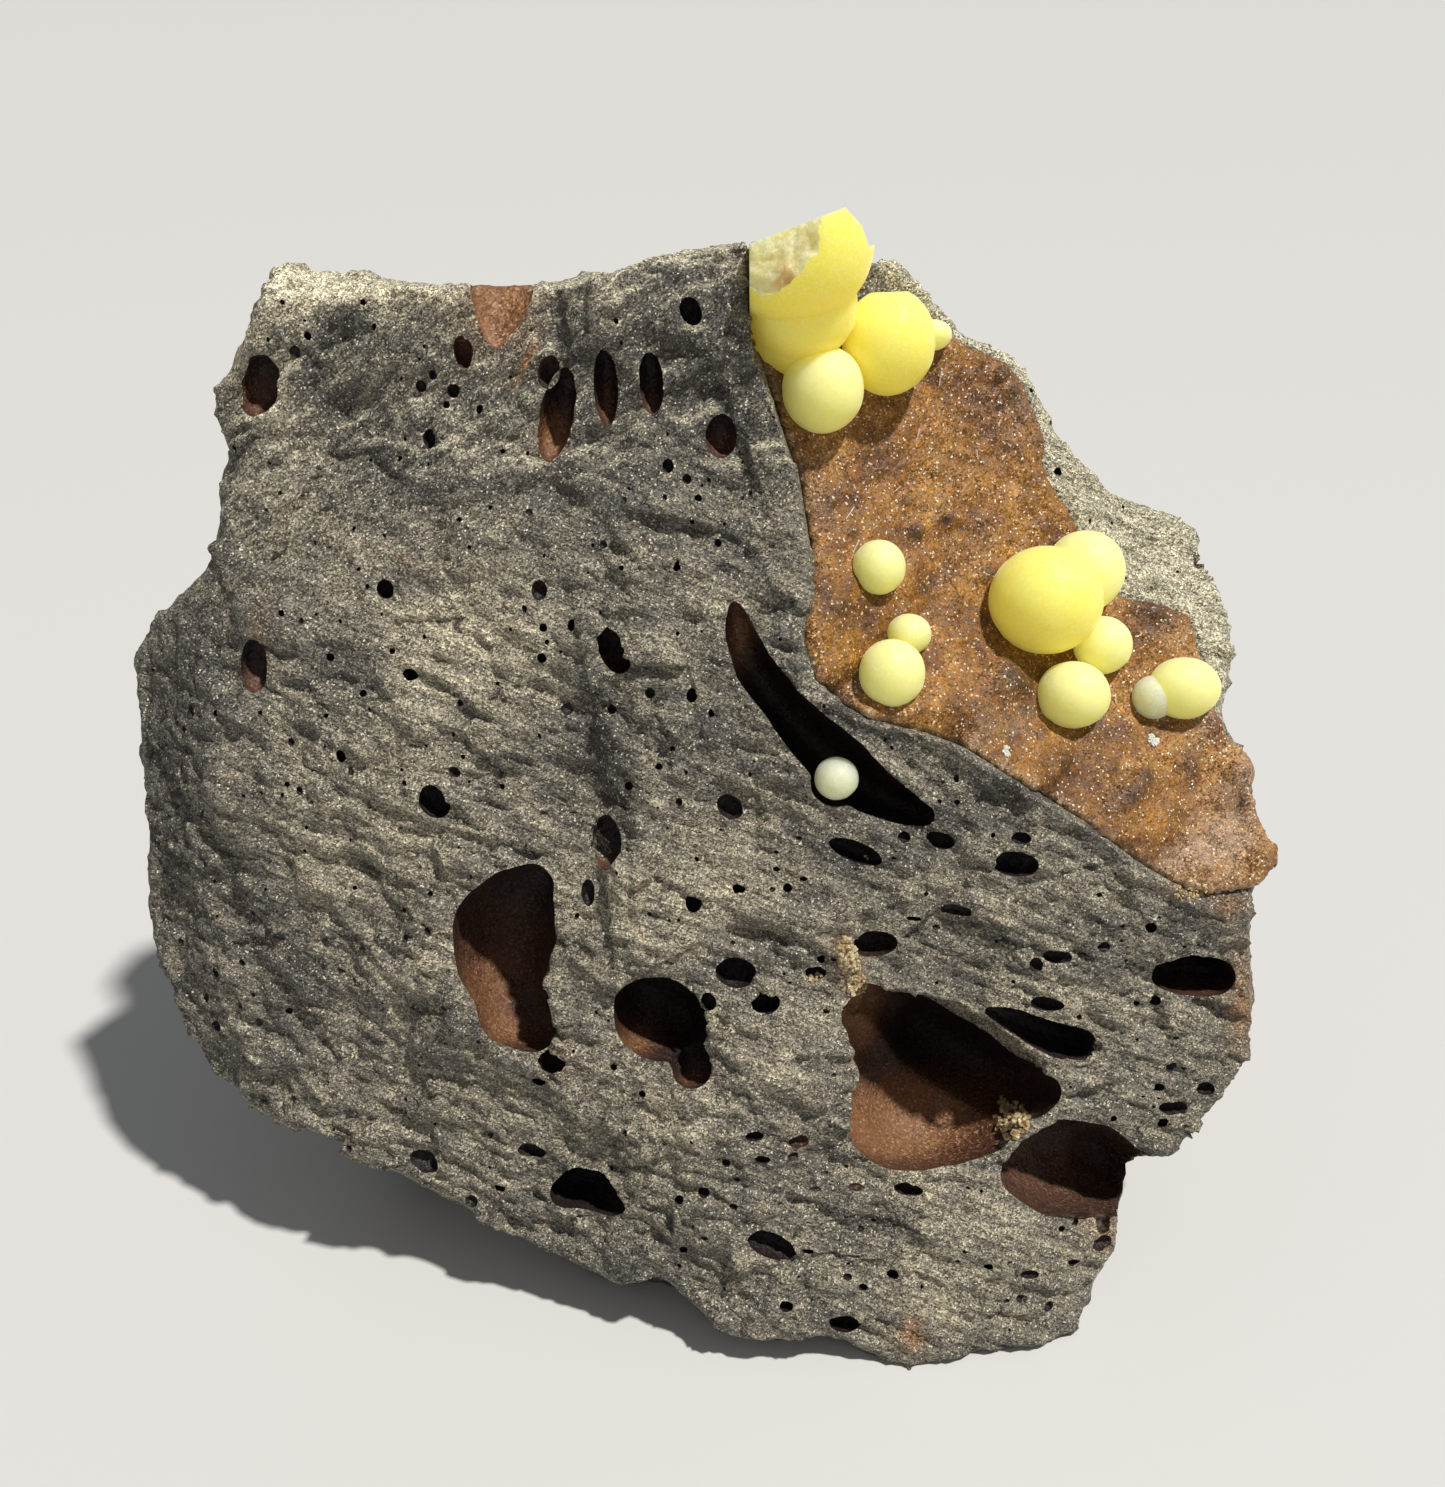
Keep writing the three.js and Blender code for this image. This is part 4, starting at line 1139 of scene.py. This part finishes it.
# Where grey-brown dust dulls the crust.
crustDust = [
    (1225, 840, 34, 60, -20, 0.75), (1245, 770, 16, 40, 0, 0.7), (1180, 862, 70, 16, 20, 0.7),
    (1205, 690, 14, 50, -10, 0.7), (1180, 640, 26, 16, 10, 0.4), (1030, 400, 24, 50, -25, 0.35),
    (820, 480, 14, 60, -10, 0.25), (990, 730, 70, 14, 25, 0.5), (860, 690, 30, 12, 20, 0.5),
]


def makeCrust():
    form = crustForm
    piece = newPiece("crust", solidCopy("cavity_crust"), crustMaterial())
    remesh(piece, form["voxel"])
    smooth(piece, form["smoothing"])
    block = sightBlock(*form["trimmed"], after=0)
    cut(piece, newPiece("crustCutter", block, piece.data.materials[0]))
    bm = bmesh.new()
    bm.from_mesh(piece.data)
    bm.normal_update()
    moves = []
    tones = {name: [] for name in ("lump", "dusty", "rim")}
    for vertex in bm.verts:
        point = vertex.co / mm
        x, y = pictureOf(vertex.co)
        facing = vertex.normal.dot((sight["eye"] - vertex.co).normalized())
        height = form["swell"]
        for size, rise in form["grains"]:
            swell = noise.fractal(point / size, 1, 2, 3)
            height += rise * 0.5 * swell + 0.5 * rise * chips(point, size, form["chipSeed"])
        away = nearestOn(crustRim, x, y)[0]
        if facing > form["front"]:
            height += patches(crustLumps, x, y)
            height += form["rimSwell"] * math.exp(-(away / form["rimWidth"]) ** 2)
        moves.append(vertex.normal * (height * mm))
        dark = sum(lump[6] * patchShare(lump, x, y) for lump in crustLumps)
        dust = patches(crustDust, x, y)
        # The pale rim line, partly the broken edge and partly a painted highlight.
        rim = math.exp(-(away / form["paintedRim"]) ** 2) if y > form["rimTop"] else 0
        mottle = noise.noise(point / form["mottleSize"])
        lumpMottle, mottle = (
            least + more * mottle for least, more in (form["lumpMottle"], form["mottle"])
        )
        tones["lump"].append(min(1, max(0, dark * lumpMottle)))
        tones["dusty"].append(min(1, max(0, dust * mottle)))
        tones["rim"].append(min(1, rim * mottle) if facing > form["rimFront"] else 0)
    for vertex, move in zip(bm.verts, moves):
        vertex.co += move
    bm.to_mesh(piece.data)
    bm.free()
    paintValues(piece, tones)
    piece.data.polygons.foreach_set("use_smooth", [True] * len(piece.data.polygons))
    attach(piece, "root")
    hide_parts("cavity_crust")
    say(f"crust made, {len(piece.data.polygons)} faces")
    return piece


# Small crystals on the crust and in the hollows, each as a patch of rough grains: x, y, half
# width, half height, turn, how many, and the size of one in picture points.
crystalPatches = {
    "whiteCrystals": [
        (1153, 741, 4, 7, 20, 26, 4.2), (1007, 752, 4, 5, 0, 14, 3.6), (868, 858, 3, 4, 0, 4, 2.2),
        (1095, 862, 3, 3, 0, 3, 2.0), (1004, 806, 2, 2, 0, 2, 2.0), (893, 593, 2, 2, 0, 2, 2.0),
        (1166, 620, 5, 2, 0, 4, 1.8),
    ],
    "goldenCrystals": [
        (849, 960, 9, 24, 14, 130, 4.4), (858, 984, 10, 12, 0, 50, 4.2),
        (815, 978, 7, 4, 20, 16, 3.0), (1012, 1120, 18, 16, 40, 90, 5.2),
        (1004, 1104, 6, 7, 0, 16, 4.0), (1190, 893, 20, 6, 22, 34, 3.4),
    ],
}
# Needles: x and y of each end and the width.
needles = [
    (940, 373, 939, 386, 1.6), (918, 430, 916, 441, 1.5), (857, 542, 853, 553, 1.5),
    (1114, 693, 1116, 704, 1.5), (852, 508, 846, 519, 1.3), (860, 655, 863, 664, 1.3),
    (974, 452, 978, 460, 1.2), (898, 486, 893, 493, 1.2),
]
crystalLooks = {
    "whiteCrystals": ((0.96, 0.94, 0.82), (0.90, 0.86, 0.66)),
    "goldenCrystals": ((0.74, 0.62, 0.36), (0.38, 0.22, 0.08)),
}
crystalForm = {
    "seed": 11, "sizes": (0.6, 1.3), "sides": (0.7, 1.3), "cube": 1.6, "seat": 0.4,
    "needleLift": 0.5 * mm, "needleEnds": (0.05, 0.04), "needleSides": 6,
}


def crystalMaterial(name, colour, deep):
    look = Look(name, Subsurface_Weight=0.6, Subsurface_Scale=0.0006,
                Subsurface_Radius=(1, 0.9, 0.6))
    place = look.place()
    tone = look.parts(look.cells(place, 0.4))[0]
    normal = look.rough(look.noise(place, 0.3, 2, 0.5), 0.1)
    return look.wear(look.mix(tone, deep, colour), 0.3, normal)


# The surface that the eye sees at a picture point, as its place and normal.
def seated(trees, x, y):
    ray = sightRay(*spot(x, y))
    hits = [tree.ray_cast(sight["eye"], ray) for tree in trees]
    hits = [hit for hit in hits if hit[0]]
    return min(hits, key=lambda hit: hit[3])[:2] if hits else None


def addCrystal(bm, draw, seat, size):
    form = crystalForm
    place, normal = seat
    grain = size * draw.uniform(*form["sizes"]) / sight["pointsPerMm"] * mm / 2
    turned = Euler([draw.uniform(0, math.tau) for _ in range(3)]).to_matrix().to_4x4()
    shape = Matrix.Diagonal((*(grain * draw.uniform(*form["sides"]) for _ in range(3)), 1))
    where = Matrix.Translation(place + normal * grain * form["seat"])
    made = bmesh.ops.create_cube(bm, size=form["cube"])
    bmesh.ops.transform(bm, matrix=where @ turned @ shape, verts=made["verts"])


def addNeedle(bm, foot, end, width):
    form = crystalForm
    lift = foot[1] * form["needleLift"]
    way = end[0] - foot[0] - lift
    thick, thin = (share * width * mm for share in form["needleEnds"])
    made = bmesh.ops.create_cone(bm, cap_ends=True, segments=form["needleSides"],
                                 depth=way.length, radius1=thick, radius2=thin)
    where = Matrix.Translation((foot[0] + lift + end[0]) / 2)
    axes = way.to_track_quat("Z", "Y").to_matrix().to_4x4()
    bmesh.ops.transform(bm, matrix=where @ axes, verts=made["verts"])


def makeCrystals(rock, crust):
    trees = [treeOf(rock), treeOf(crust)]
    draw = random.Random(crystalForm["seed"])
    for name, listed in crystalPatches.items():
        bm = bmesh.new()
        for x, y, halfWidth, halfHeight, turn, count, size in listed:
            turn = math.radians(turn)
            for _ in range(count):
                angle, reach = draw.uniform(0, math.tau), math.sqrt(draw.random())
                across = halfWidth * reach * math.cos(angle)
                along = halfHeight * reach * math.sin(angle)
                seat = seated(trees, x + across * math.cos(turn) - along * math.sin(turn),
                              y - across * math.sin(turn) - along * math.cos(turn))
                if seat:
                    addCrystal(bm, draw, seat, size)
        if name == "whiteCrystals":
            for x, y, endX, endY, width in needles:
                foot, end = seated(trees, x, y), seated(trees, endX, endY)
                if foot and end:
                    addNeedle(bm, foot, end, width)
        piece = newPiece(name, bm, crystalMaterial(name, *crystalLooks[name]))
        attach(piece, "root")
    say("crystals strewn")


calciteLook = {
    "yellow": (0.97, 0.87, 0.21), "yellowShaded": (0.96, 0.75, 0.09),
    "pale": (0.93, 0.89, 0.36), "paleShaded": (0.92, 0.84, 0.22),
    "bleached": (0.78, 0.79, 0.50), "bleachedShaded": (0.66, 0.67, 0.38),
    "speck": (1, 0.96, 0.72),
    "glow": 0.0075, "paintedGlow": 0.10, "roughness": 0.48,
    "cloud": 4, "bumps": 0.9, "depth": 0.06, "grain": 0.17, "lean": 0.2,
    "paintedLightFromAbove": (-0.7, 0.6, -0.1, 0.9), "paleByCloud": (0.3, 0.7, -0.15, 0.15),
    "speckByGrain": (0.4, 1, 0, 0.22),
}
freshLook = {
    "pale": (0.96, 0.92, 0.60), "deep": (0.95, 0.78, 0.28), "brown": (0.60, 0.33, 0.10),
    "glow": 0.002, "paintedGlow": 0.05, "roughness": 0.35,
    "broad": 2.6, "fine": 0.6, "depth": 0.35, "flake": 0.6, "lean": 0.45,
    "deepByBroad": (0.35, 0.65, 0, 0.8), "deepByFine": (0.3, 0.7, -0.2, 0.3),
}


# Light goes far into the balls. A weak emission, a painted glow, stands for what comes out of them
# again, and the colour is painted paler where a face looks up and deeper where it looks down, as
# light and shade fall.
def calciteMaterial(name, upper, lower):
    tones = calciteLook
    look = Look(name, Subsurface_Weight=1.0, Subsurface_Scale=tones["glow"],
                Subsurface_Radius=(1.0, 0.9, 0.4), Specular_IOR_Level=0.3,
                Sheen_Weight=0.3, Sheen_Roughness=0.35, Sheen_Tint=(1, 0.97, 0.75),
                Emission_Color=(*lower, 1), Emission_Strength=tones["paintedGlow"])
    place = look.place()
    normal = look.node("NewGeometry", {}).outputs["Normal"]
    upwards = look.node("SeparateXYZ", {"Vector": normal}).outputs[2]
    cloud = look.noise(place, tones["cloud"], 3, 0.5)
    # Painted light and shade: paler on faces that look up, deeper yellow on those that look down.
    share = look.math("ADD", look.spread(upwards, *tones["paintedLightFromAbove"]),
                      look.spread(cloud, *tones["paleByCloud"]))
    colour = look.mix(share, lower, upper)
    grain = look.cells(place, tones["grain"])
    speck = look.spread(look.parts(grain)[0], *tones["speckByGrain"])
    colour = look.mix(speck, colour, tones["speck"])
    normal = look.facets(grain, tones["lean"])
    normal = look.rough(look.noise(place, tones["bumps"], 3, 0.6), tones["depth"], normal)
    return look.wear(colour, tones["roughness"], normal)


def freshMaterial():
    tones = freshLook
    # A weak emission is a painted glow, as in the balls.
    look = Look("freshCalcite", Subsurface_Weight=1.0, Subsurface_Scale=tones["glow"],
                Subsurface_Radius=(1, 0.9, 0.5),
                Emission_Color=(*tones["deep"], 1), Emission_Strength=tones["paintedGlow"])
    place = look.place()
    broad = look.noise(place, tones["broad"], 4, 0.6, 0.6)
    fine = look.noise(place, tones["fine"], 4, 0.65)
    shade = look.math("ADD", look.spread(broad, *tones["deepByBroad"]),
                      look.spread(fine, *tones["deepByFine"]))
    colour = look.mix(shade, tones["pale"], tones["deep"])
    colour = look.mix(look.attribute("brown"), colour, tones["brown"])
    normal = look.facets(look.cells(place, tones["flake"]), tones["lean"])
    normal = look.rough(fine, tones["depth"], normal)
    return look.wear(colour, tones["roughness"], normal)


# Balls in each solid: x, y and radius in picture points, how far each is stretched sideways and
# upwards, how far it stands nearer, and its tone.
ballForms = {
    "calcite_cluster_corner": [
        (795, 240, 74, 1, 1.04, 2.4, "yellow"), (801, 305, 54, 1, 1.02, -1.3, "yellow"),
        (791, 328, 49, 1, 1, -3.2, "yellow"), (823, 389, 41, 0.97, 1.03, 0, "pale"),
        (889, 342, 49, 0.91, 1.02, 0, "yellow"), (933, 335, 19, 0.95, 0.75, 0, "pale"),
    ],
    "calcite_ball_upper": [(879, 567, 26.5, 1, 1.03, 0, "pale")],
    "calcite_pair_left": [
        (909, 634, 22.5, 0.98, 0.9, 0, "pale"), (892, 673, 34, 0.97, 1, 0, "pale"),
    ],
    "calcite_cluster_right": [
        (1046, 600, 55, 1, 0.96, 0, "yellow"), (1085, 571, 39, 0.97, 1, 0, "pale"),
        (1103, 645, 28, 1, 1, 0, "pale"),
    ],
    "calcite_ball_lower": [(1073, 695, 35.5, 1.0, 0.93, 0, "pale")],
    "calcite_pair_edge": [
        (1184, 688, 29, 1.18, 1.02, 0, "pale"), (1154, 697, 21, 1, 1, 0, "bleached"),
    ],
    "calcite_ball_slit": [(836.5, 778.5, 22, 1, 0.98, 0, "bleached")],
}

# Where the corner cluster is broken off: lines that run with what is lost on their left, and the
# plane of the great ball's fresh break, by its height before the ball's middle and its two slopes.
cornerCuts = [
    ((750, 345), (749, 236), 8, 8), ((746, 245), (846, 207), 8, 8), ((845, 207), (863, 227), 8, 3),
    ((862, 226), (868, 244), 8, 0.3),
]
freshBreak = {
    "from": (752, 242), "height": 3.6, "across": 0.50, "up": 0.076, "rough": 0.45,
    "right": 4, "reach": 11, "thick": 14, "segments": 90,
    "swell": 2.4, "chip": 1.6, "chipShare": 0.9, "chipSeed": 4,
    "brown": (787, 281, 12, 16), "brownMottle": 0.5, "brownSize": 0.7, "brownTo": 1.2,
}
cornerBalls = {"great": 0, "top": 4}
topCut = ((856, 293), (914, 291))
# How lumpy a ball is: share of its radius, and how many lumps to a radius.
ballLumps = [(0.022, 1.4), (0.006, 6)]


# A block that takes away all that the eye sees on the left of a line, which it runs past by before
# and after. Its depths are millimetres nearer than the sight distance.
def sightBlock(start, end, before=2, after=2, width=12, near=40, far=-40):
    (au, av), (bu, bv) = spot(*start), spot(*end)
    length = math.hypot(bu - au, bv - av)
    du, dv = (bu - au) / length, (bv - av) / length
    bm = bmesh.new()
    bmesh.ops.create_cube(bm, size=2)
    for vertex in bm.verts:
        along = -before if vertex.co.x < 0 else length + after
        aside = 0 if vertex.co.y < 0 else width
        depth = far if vertex.co.z < 0 else near
        vertex.co = sightPoint(au + du * along - dv * aside, av + dv * along + du * aside, depth)
    bmesh.ops.triangulate(bm, faces=bm.faces)
    bmesh.ops.recalc_face_normals(bm, faces=bm.faces)
    if bm.calc_volume(signed=True) < 0:
        bmesh.ops.reverse_faces(bm, faces=bm.faces)
    return bm


# The rough break across the great ball, as the block in front of it that is lost.
def breakCutter(middle, material):
    form = freshBreak
    fromU, fromV = spot(*form["from"])
    level = seenAt(middle)[2] + form["height"]
    reach, count = form["reach"], form["segments"]
    bm = bmesh.new()
    bmesh.ops.create_grid(bm, x_segments=count, y_segments=count, size=1)
    back = list(bm.verts)
    grown = bmesh.ops.extrude_face_region(bm, geom=bm.faces[:])
    front = [v for v in grown["geom"] if isinstance(v, bmesh.types.BMVert)]
    for verts, lift in ((back, 0), (front, form["thick"])):
        for vertex in verts:
            u, v = fromU + form["right"] + reach * vertex.co.x, fromV + reach * vertex.co.y
            w = level + form["across"] * (u - fromU) + form["up"] * (v - fromV)
            place = Vector((u, v, 0))
            swell = noise.fractal(place / form["swell"], 1, 2, 4)
            chip = form["chipShare"] * chips(place, form["chip"], form["chipSeed"])
            vertex.co = sightPoint(u, v, w + form["rough"] * (swell + chip) + lift)
    bmesh.ops.recalc_face_normals(bm, faces=bm.faces)
    return newPiece("breakCutter", bm, material)


# Slides a ball away from the eye until most of the solid's points lie on it, and gives its
# middle and radius.
def fittedBall(node, x, y, radius, step=0.05 * mm, near=0.025):
    points = np.array([v.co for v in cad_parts[node].data.vertices])
    ray = sightRay(*spot(x, y))
    best = (0, None, None)
    low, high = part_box(node)
    reaches = [
        (Vector((a, b, c)) - sight["eye"]).length
        for a in (low.x, high.x) for b in (low.y, high.y) for c in (low.z, high.z)
    ]
    for reach in np.arange(min(reaches), max(reaches), step):
        middle = sight["eye"] + ray * reach
        size = radius / sight["pointsPerMm"] * mm * reach / sight["distance"]
        misses = np.abs(np.linalg.norm(points - np.array(middle), axis=1) / size - 1)
        found = int((misses < near).sum())
        if found > best[0]:
            best = (found, middle, size)
    return best[1], best[2]


def makeBall(node, form, looks):
    x, y, radius, across, up, nearer, tone = form
    middle, size = fittedBall(node, x, y, radius)
    middle -= sightRay(*spot(x, y)) * (nearer * mm)
    bm = bmesh.new()
    bmesh.ops.create_icosphere(bm, subdivisions=5 if radius > 30 else 4, radius=1)
    for vertex in bm.verts:
        way = vertex.co.copy()
        (broad, broadSize), (fine, fineSize) = ballLumps
        lumpy = 1 + broad * noise.noise(way * broadSize + Vector((x, y, 0)))
        vertex.co = way * (lumpy + fine * noise.noise(way * fineSize + Vector((y, x, 0))))
    stretch = sightMatrix(middle, (size * across, size * up, size), 0)
    bmesh.ops.transform(bm, matrix=stretch, verts=bm.verts)
    return newPiece(node.replace("calcite_", "balls_"), bm, looks[tone]), middle


def breakCornerBall(ball, number, middle, fresh):
    if number == cornerBalls["great"]:
        cut(ball, breakCutter(middle, fresh))
    if number == cornerBalls["top"]:
        cut(ball, newPiece("topCutter", sightBlock(*topCut), ball.data.materials[0]))
    for line in cornerCuts:
        cut(ball, newPiece("cornerCutter", sightBlock(*line), fresh))


# Writes where the fresh break is brown, for its material to read.
def paintBreak(piece):
    form = freshBreak
    cx, cy, halfWidth, halfHeight = form["brown"]
    brown = []
    for vertex in piece.data.vertices:
        x, y = pictureOf(vertex.co)
        away = math.hypot((x - cx) / halfWidth, (y - cy) / halfHeight)
        away += form["brownMottle"] * noise.noise(vertex.co / mm / form["brownSize"])
        brown.append(min(1, max(0, form["brownTo"] - away)))
    paintValues(piece, {"brown": brown})


def makeCalcite():
    tones = calciteLook
    # Each tone has a colour for faces that look up and a painted shaded one for faces that look
    # down.
    looks = {
        tone: calciteMaterial(name, tones[tone], tones[tone + "Shaded"])
        for tone, name in (
            ("yellow", "calcite"), ("pale", "paleCalcite"), ("bleached", "bleachedCalcite"),
        )
    }
    fresh = freshMaterial()
    for node, balls in ballForms.items():
        piece = None
        for number, form in enumerate(balls):
            ball, middle = makeBall(node, form, looks)
            if node == "calcite_cluster_corner":
                breakCornerBall(ball, number, middle, fresh)
            if piece:
                cut(piece, ball, "UNION")
            else:
                piece = ball
        paintBreak(piece)
        shadeRims(piece)
        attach(piece, "root")
        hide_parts(node)
    say("calcite made")


def plainMaterial(name, colour):
    look = Look(name, Roughness=0.6)
    look.put(look.shader.inputs["Base Color"], colour)
    return look.material


studioForm = {
    "keyFrom": Vector((0.4, -0.2, 1)), "keyPower": 3.7, "keyWidth": math.radians(3),
    "keyColour": (1, 0.97, 0.92),
    "fill": 0.22, "fillColour": (0.95, 0.97, 1, 1),
    "floor": (0.62, 0.62, 0.61), "floorSize": 4,
}


def makeStudio():
    form = studioForm
    bm = bmesh.new()
    bmesh.ops.create_grid(bm, x_segments=1, y_segments=1, size=form["floorSize"])
    newPiece("floor", bm, plainMaterial("floor", form["floor"]))
    key = bpy.data.lights.new("key", "SUN")
    key.energy = form["keyPower"]
    key.angle = form["keyWidth"]
    key.color = form["keyColour"]
    holder = bpy.data.objects.new("key", key)
    bpy.context.scene.collection.objects.link(holder)
    holder.rotation_euler = form["keyFrom"].to_track_quat("Z", "Y").to_euler()
    world = bpy.data.worlds.new("studio")
    world.use_nodes = True
    background = world.node_tree.nodes["Background"]
    background.inputs["Color"].default_value = form["fillColour"]
    background.inputs["Strength"].default_value = form["fill"]
    bpy.context.scene.world = world
    bpy.context.scene.view_settings.view_transform = "Standard"


makeCamera()
makeStudio()
makeCrystals(makeBasalt(), makeCrust())
makeCalcite()

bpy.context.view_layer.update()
say("done")
